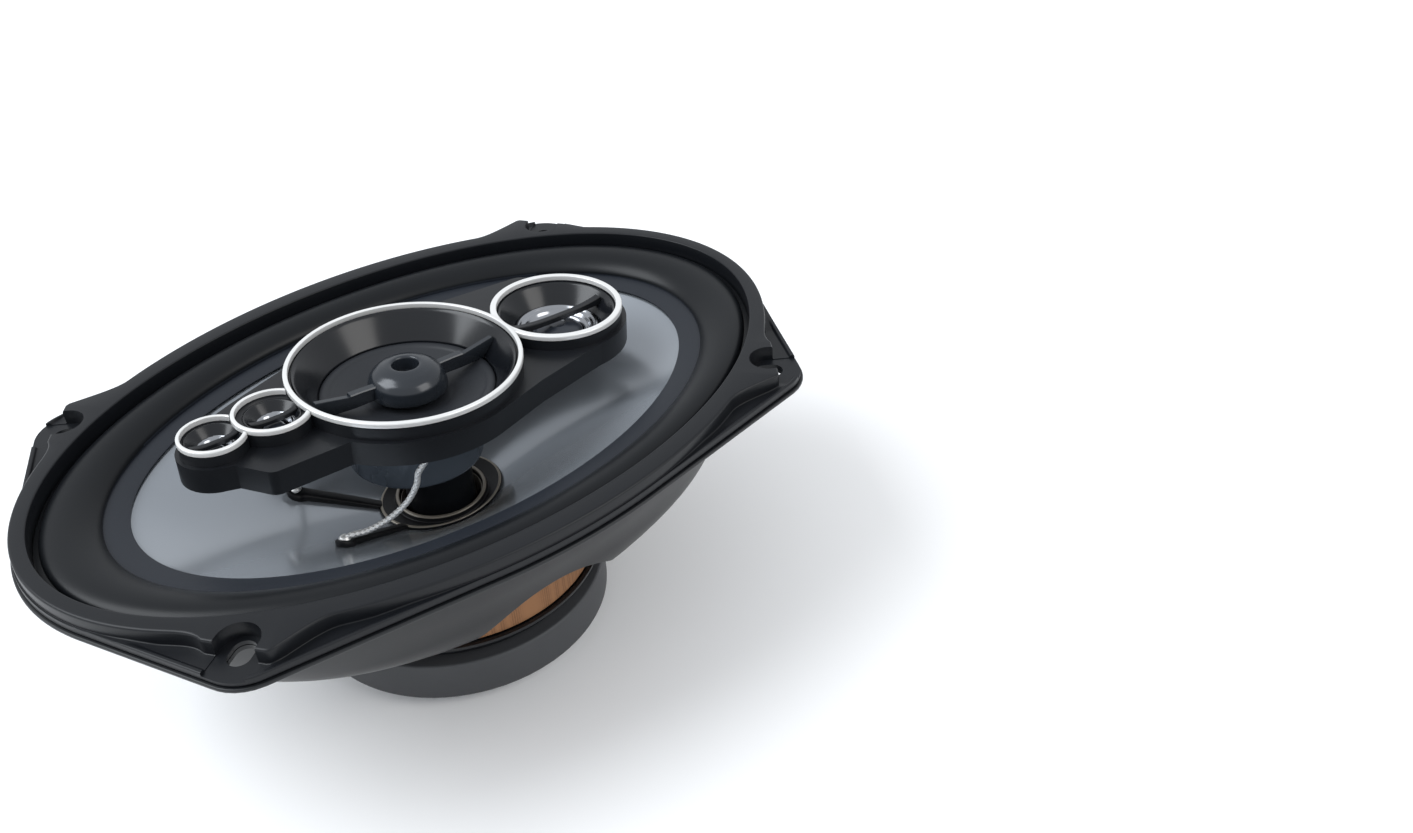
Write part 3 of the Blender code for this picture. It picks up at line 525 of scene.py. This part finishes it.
def make_gasket():
    inner = (113.6, 75.1)
    count = 720
    edge = eared(0.0, RING_LEDGE, count)
    foot = crown_rows(edge)
    width = np.linalg.norm(edge[:, :2], axis=1) - np.linalg.norm(foot[:, :2], axis=1)
    depth = 0.8 * np.clip((width - 2.2) / 2.0, 0, 1)
    foot[:, 2] = RING_LEDGE - depth
    crown = foot.copy()
    crown[:, 2] = RING_TOP
    rows = [
        oval(*inner, RING_UNDER, count),
        eared(0.0, RING_UNDER, count),
        edge,
        shrunk(edge, np.minimum(1.2, width * 0.3), RING_LEDGE),
        shrunk(edge, np.minimum(1.7, width * 0.6), RING_LEDGE - depth),
        foot,
        crown,
        oval(*inner, RING_TOP, count),
    ]
    ring = loft("front_ring", fillet(rows, [0.3, 0.4, 0.45, 0.3, 0.3, 0.4, 0.8, 0.5], 4))
    tools = []
    for k, (x, y) in enumerate(EARS):
        way = np.array((x, y)) / math.hypot(x, y)
        px, py = x + way[0] * 10, y + way[1] * 10
        tools.append(slot_tool(f"p{k}", px, py, POCKET_RADIUS, 20, POCKET_FLOOR, 90, 96))
        tools.append(slot_tool(f"h{k}", x, y, SCREW_RADIUS, SCREW_STRETCH, 73, 82))
    cut(ring, *tools)
    place(ring, "frame", ["gasket_ring"], PLASTIC)


# Cone, surround and the parts behind -------------------------------------------------


def cone_station(share):
    a = 13.4 + (88.0 - 13.4) * share
    b = 13.4 + (55.6 - 13.4) * share
    z = 42.2 + (75.4 - 42.2) * share**0.94
    return a, b, z


def cone_height(x, y):
    low, high = 0.0, 1.2
    for _ in range(40):
        middle = (low + high) / 2
        a, b, _ = cone_station(middle)
        if (x / a) ** 2 + (y / b) ** 2 > 1:
            low = middle
        else:
            high = middle
    return cone_station(low)[2]


def make_cone():
    shares = np.linspace(0, 1, 26)
    front = [cone_station(s) for s in shares]
    edge = [(89.0, 56.5, 75.9), (94.5, 61.6, 76.2), (94.5, 61.6, 75.4), (89.4, 56.9, 75.1)]
    back = [(a + 0.5, b + 0.5, z - 0.8) for a, b, z in front[::-1]]
    rows = [oval(*p) for p in front + edge + back]
    cone = loft("cone_shell", rows)
    place(cone, "moving_cone", ["cone"], CONE)


def surround_rows(count=N):
    top, under = [], []
    steps = 28
    for k in range(steps + 1):
        angle = math.pi * k / steps
        spread = (1 - math.cos(angle)) / 2
        a = 111.8 + (95.6 - 111.8) * spread
        b = 73.3 + (62.4 - 73.3) * spread
        rise = math.sin(angle)
        base = 79.8 - 2.5 * spread
        top.append((a, b, base + 3.6 * rise + 0.1))
        push = 0.75 * math.cos(angle)
        under.append((a - push, b - push, base + 3.5 * rise - 0.7))
    lip = [(113.1, 74.6, 79.0), (113.1, 74.6, 79.8)]
    band = [
        (88.9, 56.4, 77.0), (88.4, 55.9, 76.8), (88.4, 55.9, 76.4), (89.6, 57.0, 76.5),
        (95.0, 62.0, 76.55),
    ]
    return [oval(*p, count) for p in lip + top + band + under[::-1]]


def make_surround():
    surround = loft("surround_roll", surround_rows())
    surround.data.materials.clear()
    surround.data.materials.append(RUBBER)
    surround.data.materials.append(BAND)
    for poly in surround.data.polygons:
        x, y, _ = poly.center
        if math.hypot(x / 0.0957, y / 0.0625) < 1.0:
            poly.material_index = 1
    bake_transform(surround)
    radial_weights(surround)
    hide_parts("surround")


def radial_weights(obj):
    """Reads each vertex's position in millimetres and its angle round the axis; no weights are stored."""
    count = len(obj.data.vertices)
    co = np.empty(count * 3)
    obj.data.vertices.foreach_get("co", co)
    co = co.reshape(-1, 3) / MM
    way = np.arctan2(co[:, 1], co[:, 0])

    def radius(axes):
        return 1 / np.sqrt((np.cos(way) / axes[0]) ** 2 + (np.sin(way) / axes[1]) ** 2)


def make_spider():
    steps = 120
    top = [
        (50.4, 37.0), (46.4, 37.0), (46.1, 36.6), (46.1, 25.1),
        (45.3, 25.1), (45.1, 30.3), (44.8, 30.7), (44.3, 30.6),
    ]
    under = [
        (50.4, 36.3), (47.0, 36.3), (46.75, 36.0), (46.75, 24.7),
        (46.5, 24.4), (44.9, 24.4), (44.6, 24.7), (44.5, 29.6),
    ]
    for k in range(steps + 1):
        r = 43.4 + (14.6 - 43.4) * k / steps
        z = 29.5 - 1.55 * math.cos((42.2 - r) / 4.8 * 2 * math.pi)
        top.append((r, z))
        under.append((r, z - 0.6))
    top.append((13.2, 31.0))
    under.append((13.2, 30.4))
    rows = [oval(r, r, z, 192) for r, z in top + under[::-1]]
    spider = loft("spider_cloth_ring", rows)
    spider.data.materials.append(SPIDER)
    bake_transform(spider)
    radial_weights(spider)
    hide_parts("spider")


def make_coil_parts():
    former = turned_ring("former_tube", [(12.5, 12.5), (12.8, 12.5), (12.8, 45.3), (12.5, 45.3)], 0.08, 2)
    place(former, "moving_cone", ["voice_coil_former"], FORMER)
    a0, b0, z0 = cone_station(0.012)
    a1, b1, z1 = cone_station(0.09)
    collar = oval_ring(
        "neck_seal",
        [
            (13.0, 13.0, z0 + 0.6),
            (a0 + 0.6, b0 + 0.6, z0 + 0.6),
            (a1, b1, z1 + 0.15),
            (a1 - 0.8, b1 - 0.6, z1 + 1.0),
            (14.6, 14.6, 45.0),
            (14.1, 14.1, 46.9),
            (13.0, 13.0, 46.9),
        ],
        0.5, 4, ROUND,
    )
    place(collar, "moving_cone", ["neck_collar"], COLLAR)
    collar.data.materials.append(FORMER)
    for poly in collar.data.polygons:
        if poly.center.z > 46.3 * MM:
            poly.material_index = 1


def make_motor():
    yoke = turned_ring(
        "yoke_plate_pole",
        [(7.7, 0.0), (44.0, 0.0), (45.0, 1.0), (45.0, 3.0), (14.0, 3.0), (12.0, 5.0), (12.0, 22.5),
         (3.3, 22.5), (3.3, 5.2), (7.7, 5.2)],
        0.35, 3, 200,
    )
    place(yoke, "frame", ["yoke"], STEEL)
    magnet = turned_ring(
        "magnet_ring",
        [(22.0, 3.3), (MAGNET_RADIUS, 3.3), (MAGNET_RADIUS, 17.3), (22.0, 17.3)],
        [0.3, 1.3, 1.0, 0.3], 5, 256,
    )
    place(magnet, "frame", ["magnet"], FERRITE)
    plate = turned_ring(
        "front_plate",
        [(14.9, 17.6), (44.0, 17.6), (44.0, 21.6), (14.9, 21.6)],
        0.4, 3, 256,
    )
    place(plate, "frame", ["top_plate"], BASKET)


# Leads -------------------------------------------------------------------------------


def catmull(knots, share):
    spans = len(knots) - 1
    span = min(int(share * spans), spans - 1)
    t = share * spans - span
    p1, p2 = knots[span], knots[span + 1]
    p0 = knots[span - 1] if span else p1 * 2 - p2
    p3 = knots[span + 2] if span + 2 < len(knots) else p2 * 2 - p1
    return 0.5 * (p1 * 2 + (p2 - p0) * t + (p0 * 2 - p1 * 5 + p2 * 4 - p3) * t * t
                  + (p1 * 3 - p0 - p2 * 3 + p3) * t * t * t)


def braid(name, route, radius, pitch=3.0, around=24, step=0.16):
    """A braided tube: its skin rises and falls as crossing strands do."""
    knots = [np.array(p, float) for p in route]
    fine = np.array([catmull(knots, k / 600) for k in range(601)])
    run = np.concatenate([[0], np.cumsum(np.linalg.norm(np.diff(fine, axis=0), axis=1))])
    count = int(run[-1] / step)
    where = np.linspace(0, run[-1], count)
    mid = np.stack([np.interp(where, run, fine[:, k]) for k in range(3)], 1)
    tangent = np.gradient(mid, axis=0)
    tangent /= np.linalg.norm(tangent, axis=1, keepdims=True)
    side = np.cross(tangent[0], (0.3, 0.2, 1.0))
    rows = []
    t = np.arange(around) * 2 * math.pi / around
    for k in range(count):
        side = side - tangent[k] * side.dot(tangent[k])
        side /= np.linalg.norm(side)
        other = np.cross(tangent[k], side)
        phase = where[k] / pitch * 2 * math.pi
        strand = np.maximum(np.sin(4 * t + phase * 2), np.sin(4 * t - phase * 2))
        r = radius * (0.90 + 0.12 * strand)
        ring = side[None] * np.cos(t)[:, None] + other[None] * np.sin(t)[:, None]
        rows.append(mid[k] + ring * r[:, None])
    return loft(name, rows, closed=False, caps=True)


def pod_point(x, y, z):
    c, s = math.cos(POD_TILT), math.sin(POD_TILT)
    return np.array((POD_X + x * c + z * s, y, POD_PLANE - x * s + z * c))


def make_leads():
    for tag, side in (("left", 1), ("right", -1)):
        ex, ey = EYELET[0], EYELET[1] * side
        ez = cone_height(ex, ey)
        route = [
            (-14.4, 28.7 * side, 84.8),
            (-15.3, 28.4 * side, 82.4),
            (-17.7, 27.1 * side, 78.6),
            (-18.8, 26.5 * side, 74.5),
            (-21.9, 24.8 * side, 69.0),
            (-27.0, 22.1 * side, 64.3),
            (-32.6, 19.1 * side, 61.3),
            (-37.0, 16.8 * side, 60.6),
            (ex, ey, ez + 2.7),
        ]
        lead = braid(f"braided_lead_{tag}", route, 0.9)
        drop = turned(f"solder_{tag}", [(1.75, 0.0), (1.75, 0.5), (1.1, 1.3), (0.4, 1.5)], 0.35, 4, 48)
        drop.data.transform(Matrix.Translation(Vector((ex, ey, ez + 2.3)) * MM))
        join(lead, drop)
        lead.data.materials.append(BRAID)
        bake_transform(lead)
        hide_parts(f"front_lead_{tag}")
        make_strip(tag, ex, ey)
    for tag, side in (("left", -1), ("right", 1)):
        route = [
            (4.5 * side, wall_width(53.5) - 0.6, 53.2),
            (5.5 * side, wall_width(53.5) - 7.0, 49.5),
            (7.0 * side, 44.0, 44.8),
            (8.0 * side, 33.0, 45.6),
            (8.2 * side, 25.5, cone_height(8.2, 25.5) - 1.6),
        ]
        lead = braid(f"rear_braid_{tag}", route, 0.75)
        lead.data.materials.append(BRAID)
        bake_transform(lead)
        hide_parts(f"rear_lead_{tag}")


def wall_width(z):
    rows = WALL[3:]
    for (_, b0, z0, *_), (_, b1, z1, *_) in zip(rows, rows[1:]):
        if z0 <= z <= z1:
            return b0 + (b1 - b0) * (z - z0) / (z1 - z0)
    raise ValueError("height is off the wall")


def make_strip(tag, ex, ey):
    """Sealed arm that lies on the cone from its neck to the round end under a lead."""
    end = np.array((ex, ey))
    length = math.hypot(ex, ey)
    way = end / length
    side = np.array((-way[1], way[0]))
    rows = []
    around = 32
    runs = np.concatenate([
        np.linspace(NECK_REACH - length, -3.0, 26),
        SEAL_RADIUS * np.sin(np.linspace(-0.7, 1.45, 16)),
    ])
    for along in runs:
        t = (along + length - NECK_REACH) / (length - NECK_REACH)
        round_end = 0.0
        if along > -2.4:
            round_end = math.sqrt(max(0.0, SEAL_RADIUS**2 - min(along, SEAL_RADIUS - 0.01) ** 2))
        half = max(round_end, (1.7 + 0.4 * t) * (1 if along < 0 else 0))
        tall = (1.5 + 0.9 * t) * min(1.0, half / 1.2)
        middle = end + way * along
        row = []
        for j in range(around):
            u = 2 * math.pi * j / around
            flat = math.copysign(abs(math.cos(u)) ** 0.6, math.cos(u))
            p = middle + side * half * flat
            lift = tall * math.sin(u) ** 0.45 if math.sin(u) > 1e-9 else 0.25 * math.sin(u)
            row.append((p[0], p[1], cone_height(*p) + 0.05 + lift))
        rows.append(np.array(row))
    strip = loft(f"lead_seal_{tag}", rows, closed=False, caps=True)
    place(strip, "moving_cone", [f"lead_strip_{tag}"], COLLAR)


# Driver pod --------------------------------------------------------------------------


def plate_outline():
    points = []

    def arc(cx, cy, radius, start, stop, count):
        for k in range(count + 1):
            angle = math.radians(start + (stop - start) * k / count)
            points.append((cx + radius * math.cos(angle), cy + radius * math.sin(angle)))

    arc(TWEETER["x"], 0.0, 21.9, -88, 58, 60)
    arc(57.0, 25.8, 5.3, 10, 95, 20)
    points.append((15.3, 33.5))
    arc(0.0, 0.0, 35.6, 70, 128, 30)
    points += [(-45.6, 18.6), (-58.4, 12.8)]
    arc(SUPER_B["x"], 0.0, 10.4, 118, 255, 40)
    points.append((-57.8, -11.3))
    arc(-49.8, -17.2, 3.6, 215, 270, 14)
    points.append((-29.3, -20.8))
    arc(0.0, 0.0, 35.6, 217, 286, 30)
    points.append((29.2, -27.8))
    return points


def make_housing():
    plate = prism("pod_body", plate_outline(), -12.5, -5.0)
    collars = []
    for k, driver in enumerate((MID, TWEETER, SUPER_A, SUPER_B)):
        count = 256 if driver is MID else 160
        top = -1.9 + driver["lift"]
        collars.append(cylinder(f"c{k}", driver["x"], 0, driver["radius"] - 0.15, -11.0, top, count))
    join(plate, *collars)
    wells = []
    for k, (driver, floor, hole) in enumerate(
        ((MID, -11.0, 22.0), (TWEETER, -10.8, 9.0), (SUPER_A, -8.0, 3.0), (SUPER_B, -8.0, 3.0))
    ):
        wells.append(cylinder(f"w{k}", driver["x"], 0, driver["well"], floor, 5.0))
        wells.append(cylinder(f"h{k}", driver["x"], 0, hole, -20.0, floor + 1.0))
    cut(plate, *wells)
    in_pod(plate)
    place(plate, "frame", ["pod_housing"], POD)


def make_stem():
    top = POD_PLANE + (CAN_UNDER - GAP) / math.cos(POD_TILT)
    rows = [oval(10.6, 10.6, 22.8, 96), oval(10.6, 10.6, 58.0, 96)]
    head = oval(13.5, 13.5, top, 96)
    head[:, 2] -= math.tan(POD_TILT) * (head[:, 0] - POD_X)
    rows.append(head)
    stem = loft("pod_post", fillet(rows, [0.3, 8.0, 0.3], 6, closed=False), closed=False, caps=True)
    place(stem, "frame", ["pod_stem"], PLASTIC)


def trim(name, driver, over, nodes, count):
    outer, bore = driver["radius"], driver["bore"]
    ring = turned_ring(
        name, [(outer, -1.6), (outer, 0.0), (bore, 0.0), (bore, -1.6)], [0.1, 0.55, 0.3, 0.1], 5, count
    )
    ring.data.transform(Matrix.Translation((driver["x"] * MM, 0, driver["lift"] * MM)))
    if over:
        cut(ring, cylinder(f"{name}_gap", over["x"], 0, over["radius"] + GAP, -12, 6, 256))
    in_pod(ring)
    place(ring, "frame", nodes, TRIM)


def make_mid():
    lift = MID["lift"]
    guide = turned_ring(
        "mid_horn",
        [(32.3, -1.9), (32.3, -1.0), (31.5, -1.6), (26.0, -9.4), (26.0, -11.3), (32.3, -11.3)],
        [0.0, 0.3, 0.6, 0.3, 0.2, 0.2], 4, 256,
    )
    place(in_pod(guide, 0, lift), "frame", ["mid_waveguide"], GUIDE)
    rows = []
    profile = [
        (25.7, -9.7), (24.6, -9.3), (23.4, -9.5), (22.6, -10.0),
        (18.0, -11.2), (13.0, -12.2), (4.0, -12.6),
    ]
    under = [(r, z - 0.6) for r, z in profile[::-1]]
    for r, z in profile + under:
        rows.append(oval(r, r, z, 200))
    cone = loft("mid_membrane", fillet(rows, 0.5, 4))
    place(in_pod(cone, 0, lift), "mid_cone", ["mid_diaphragm"], PULP)
    profile = [
        (CAN_RADIUS - 1.5, CAN_UNDER), (CAN_RADIUS, CAN_UNDER), (CAN_RADIUS, -12.8),
        (18.5, -12.8), (18.5, -16.0),
    ]
    rows = [oval(r, r, z, 200) for r, z in profile]
    rows = fillet(rows, [0, 1.4, 0.6, 0.4, 0], 5, closed=False)
    motor = loft("mid_back_can", rows, closed=False, caps=True)
    place(in_pod(motor), "frame", ["mid_motor"], CAN)
    dome = [
        (8.0, -10.4), (11.7, -10.2), (11.75, -8.4), (11.2, -6.0), (10.0, -4.1),
        (8.0, -2.7), (5.6, -1.9), (4.4, -1.75), (3.9, -2.2), (3.7, -6.0),
    ]
    rows = [oval(r, r, z, 144) for r, z in dome]
    bullet = loft("mid_bullet", fillet(rows, 0.7, 4, closed=False), closed=False, caps=True)
    join(bullet, fin_tool("fa", 1), fin_tool("fb", -1))
    place(in_pod(bullet, 0, lift), "frame", ["mid_guard"], GLOSS)


def fin_tool(name, side):
    """Stepped, tapered arm from the dome to the horn's wall."""
    profile = [
        (8.0, -9.4), (8.0, -5.2), (15.0, -4.9), (18.6, -4.9), (19.0, -5.5),
        (29.2, -3.4), (29.6, -4.3), (26.0, -9.2), (18.0, -9.6),
    ]
    step, slim, waist = 18.8, 0.72, -7
    rows = []
    for y, inset in ((-1.25, 0.35), (-1.0, 0.0), (1.0, 0.0), (1.25, 0.35)):
        rows.append(np.array([
            (x * side, y * (1.0 if x < step else slim), z + (inset if z < waist else -inset))
            for x, z in profile
        ]))
    return loft(name, rows, closed=False, caps=True)


def make_tweeter():
    x = TWEETER["x"]
    horn = turned_ring(
        "tweeter_horn", [(18.25, -1.9), (17.7, -2.2), (13.2, -8.0), (13.2, -10.4), (18.25, -10.4)],
        [0.2, 0.4, 0.5, 0.2, 0.2], 4, 200,
    )
    place(in_pod(horn, x), "frame", ["tweeter_waveguide"], GUIDE)
    cup = turned_ring(
        "tweeter_chrome",
        [
            (12.95, -7.4), (12.2, -7.1), (11.4, -7.9), (10.6, -8.0), (9.8, -9.1),
            (9.0, -9.2), (8.4, -9.9), (8.4, -10.4), (12.95, -10.4),
        ],
        [0.2, 0.35, 0.3, 0.3, 0.3, 0.3, 0.2, 0.1, 0.1], 5, 200,
    )
    place(in_pod(cup, x), "frame", ["tweeter_reflector"], CHROME)
    profile = [(8.1, -10.3), (7.9, -9.6)]
    for k in range(1, 12):
        t = k / 12 * math.pi / 2
        profile.append((7.7 * math.cos(t) + 0.2, -9.6 + 2.7 * math.sin(t)))
    profile += [(2.7, -6.95), (2.4, -7.25), (0.4, -7.2)]
    keep = [p for p in profile[:-3] if p[0] > 2.9] + profile[-3:]
    rows = [oval(r, r, z, 128) for r, z in keep]
    dome = loft("tweeter_membrane", rows, closed=False, caps=True)
    place(in_pod(dome, x), "tweeter_diaphragm", ["tweeter_dome"], DOME)
    bar = bar_piece("tweeter_bridge", 15.9, 1.2, -5.8, -4.0, 1.4)
    place(in_pod(bar, x), "frame", ["tweeter_bar"], POD)


def bar_piece(name, reach, half, low, high, rise):
    """A slim bridge that swells a little towards its ends."""
    rows = []
    for k in range(41):
        t = k / 20 - 1
        w = half * (0.86 + 0.14 * t * t)
        up = rise * abs(t) ** 3
        z0, z1 = low + up * 0.6, high + up
        e = 0.25
        row = [(-w, z0), (w, z0), (w, z1 - e), (w - e, z1), (-w + e, z1), (-w, z1 - e)]
        rows.append(np.array([(t * reach, y, z) for y, z in row]))
    return loft(name, rows, closed=False, caps=True)


def make_super(letter, driver):
    well, lift, x = driver["well"] - 0.15, driver["lift"], driver["x"]
    inner = well * 0.42
    cup = turned_ring(
        f"super_{letter}_chrome",
        [(well, -1.9), (well - 0.4, -1.8), (well * 0.66, -4.6), (well * 0.6, -4.7), (inner + 0.5, -6.0),
         (inner + 0.3, -7.6), (well, -7.6)],
        [0.1, 0.2, 0.3, 0.3, 0.3, 0.1, 0.1], 4, 128,
    )
    place(in_pod(cup, x, lift), "frame", [f"super_tweeter_{letter}_reflector"], CHROME)
    cup.data.materials.append(GUIDE)
    seat = pod_point(x, 0, lift)
    for poly in cup.data.polygons:
        away = np.array(poly.center) / MM - seat
        flat = math.hypot(away[0], away[1])
        if flat > well * 0.665 or flat < inner + 0.45:
            poly.material_index = 1
    rows = [(inner, -7.3), (inner - 0.1, -6.4), (inner - 0.6, -5.6), (inner - 1.3, -5.1), (0.5, -4.9)]
    dome = turned(f"super_{letter}_membrane", rows, 0.5, 4, 96)
    body, node = f"super_tweeter_{letter}_diaphragm", f"super_tweeter_{letter}_dome"
    place(in_pod(dome, x, lift), body, [node], DOME)
    bar = bar_piece(f"super_{letter}_bridge", well * 0.86, 0.95, -4.2, -2.9, 0.9)
    place(in_pod(bar, x, lift), "frame", [f"super_tweeter_{letter}_bar"], POD)


# Terminals ---------------------------------------------------------------------------


def board_frame():
    low = Vector((0.0, wall_width(44.0), 44.0))
    high = Vector((0.0, wall_width(65.0), 65.0))
    up = (high - low).normalized()
    across = Vector((-1.0, 0.0, 0.0))
    out = across.cross(up)
    spin = Matrix((across, up, out)).transposed().to_4x4()
    return Matrix.Translation((low + high) / 2 * MM) @ spin


def make_terminals():
    seat = board_frame()
    board = box("tag_board", (-16.0, -9.5, 0.4), (16.0, 9.5, 2.2))
    soften(board, 0.5, 3)
    board.data.transform(seat)
    place(board, "frame", ["terminal_board"], BOARD)
    for tag, x0, x1 in (("positive", -11.5, -5.2), ("negative", 5.2, 10.0)):
        mid = (x0 + x1) / 2
        tab = prism(
            f"spade_{tag}",
            [(x0, 3.0), (x0, -13.0), (x0 + 1.2, -14.5), (x1 - 1.2, -14.5), (x1, -13.0), (x1, 3.0)],
            2.5, 3.3,
        )
        cut(tab, cylinder("eye", mid, -11.2, 0.9, 1.0, 5.0, 32))
        join(tab, cylinder("rivet", mid, 0.6, 1.7, 2.3, 4.1, 40))
        soften(tab, 0.12, 2)
        tab.data.transform(seat)
        place(tab, "frame", [f"terminal_tab_{tag}"], STEEL)
    profile = [(4.0, -4.8), (4.0, -4.0), (3.8, -3.7), (4.0, -3.4), (4.0, 4.8)]
    can = turned("capacitor_can", profile, 0.4, 4, 64)
    can.data.transform(
        seat @ Matrix.Translation(Vector((0.0, 4.9, 6.6)) * MM) @ Matrix.Rotation(math.pi / 2, 4, "Y")
    )
    place(can, "frame", ["crossover_capacitor"], SLEEVE)


def carried_nodes():
    """Materials for the CAD nodes that stay."""
    for node, mat in (
        ("voice_coil_winding", COPPER),
        ("pod_bolt", STEEL),
        ("tweeter_motor", FERRITE),
    ):
        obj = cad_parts[node]
        obj.data.materials.clear()
        obj.data.materials.append(mat)


# Stage -------------------------------------------------------------------------------


def make_stage():
    mesh = bpy.data.meshes.new("floor")
    s = 4.0
    mesh.from_pydata([(-s, -s, 0), (s, -s, 0), (s, s, 0), (-s, s, 0)], [], [(0, 1, 2, 3)])
    floor = bpy.data.objects.new("floor", mesh)
    bpy.context.scene.collection.objects.link(floor)
    floor.location.z = -0.0002
    mat = bpy.data.materials.new("floor_pale")
    mat.use_nodes = True
    shader = mat.node_tree.nodes["Principled BSDF"]
    shader.inputs["Base Color"].default_value = (0.94, 0.94, 0.94, 1)
    shader.inputs["Roughness"].default_value = 0.7
    mesh.materials.append(mat)
    world = bpy.data.worlds.new("studio")
    bpy.context.scene.world = world
    world.use_nodes = True
    back = world.node_tree.nodes["Background"]
    back.inputs["Color"].default_value = (0.93, 0.96, 1.0, 1)
    back.inputs["Strength"].default_value = 0.86
    lamp("key", (-0.9, 0.5, 1.3), (0, 0, 0.08), 1.1, 22, (0.92, 0.96, 1.0))
    lamp("fill", (0.6, -1.1, 0.9), (0, 0, 0.06), 0.8, 6, (1.0, 0.98, 0.95))


def lamp(name, spot, target, size, power, colour):
    data = bpy.data.lights.new(name, "AREA")
    data.shape = "SQUARE"
    data.size = size
    data.energy = power
    data.color = colour
    obj = bpy.data.objects.new(name, data)
    bpy.context.scene.collection.objects.link(obj)
    obj.location = spot
    aim = Vector(target) - Vector(spot)
    obj.rotation_euler = aim.to_track_quat("-Z", "Y").to_euler()


def make_camera():
    data = bpy.data.cameras.new("camera")
    data.sensor_width = 36.0
    data.lens = CAMERA_LENS
    data.clip_start = 0.01
    obj = bpy.data.objects.new("camera", data)
    bpy.context.scene.collection.objects.link(obj)
    right, up, back = (Vector(v).normalized() for v in CAMERA_AXES)
    spin = Matrix((right, up, back)).transposed()
    obj.matrix_world = Matrix.Translation(CAMERA_SPOT) @ spin.to_4x4()
    bpy.context.scene.camera = obj
    bpy.context.scene.view_settings.view_transform = "Standard"


CAMERA_LENS = 34.09
CAMERA_SPOT = (-0.13792, -0.31165, 0.31033)
CAMERA_AXES = (
    (0.7608, -0.6466, -0.0489),
    (0.41299, 0.42535, 0.80531),
    (-0.50027, -0.63294, 0.59086),
)

make_basket()
make_gasket()
make_cone()
make_surround()
make_spider()
make_coil_parts()
make_motor()
make_leads()
make_stem()
make_housing()
trim("mid_ring", MID, None, ["mid_trim_ring"], 256)
trim("tweeter_ring", TWEETER, MID, ["tweeter_trim_ring"], 200)
trim("super_a_ring", SUPER_A, MID, ["super_tweeter_a_trim_ring"], 160)
trim("super_b_ring", SUPER_B, SUPER_A, ["super_tweeter_b_trim_ring"], 160)
make_mid()
make_tweeter()
make_super("a", SUPER_A)
make_super("b", SUPER_B)
make_terminals()
carried_nodes()
make_stage()
make_camera()
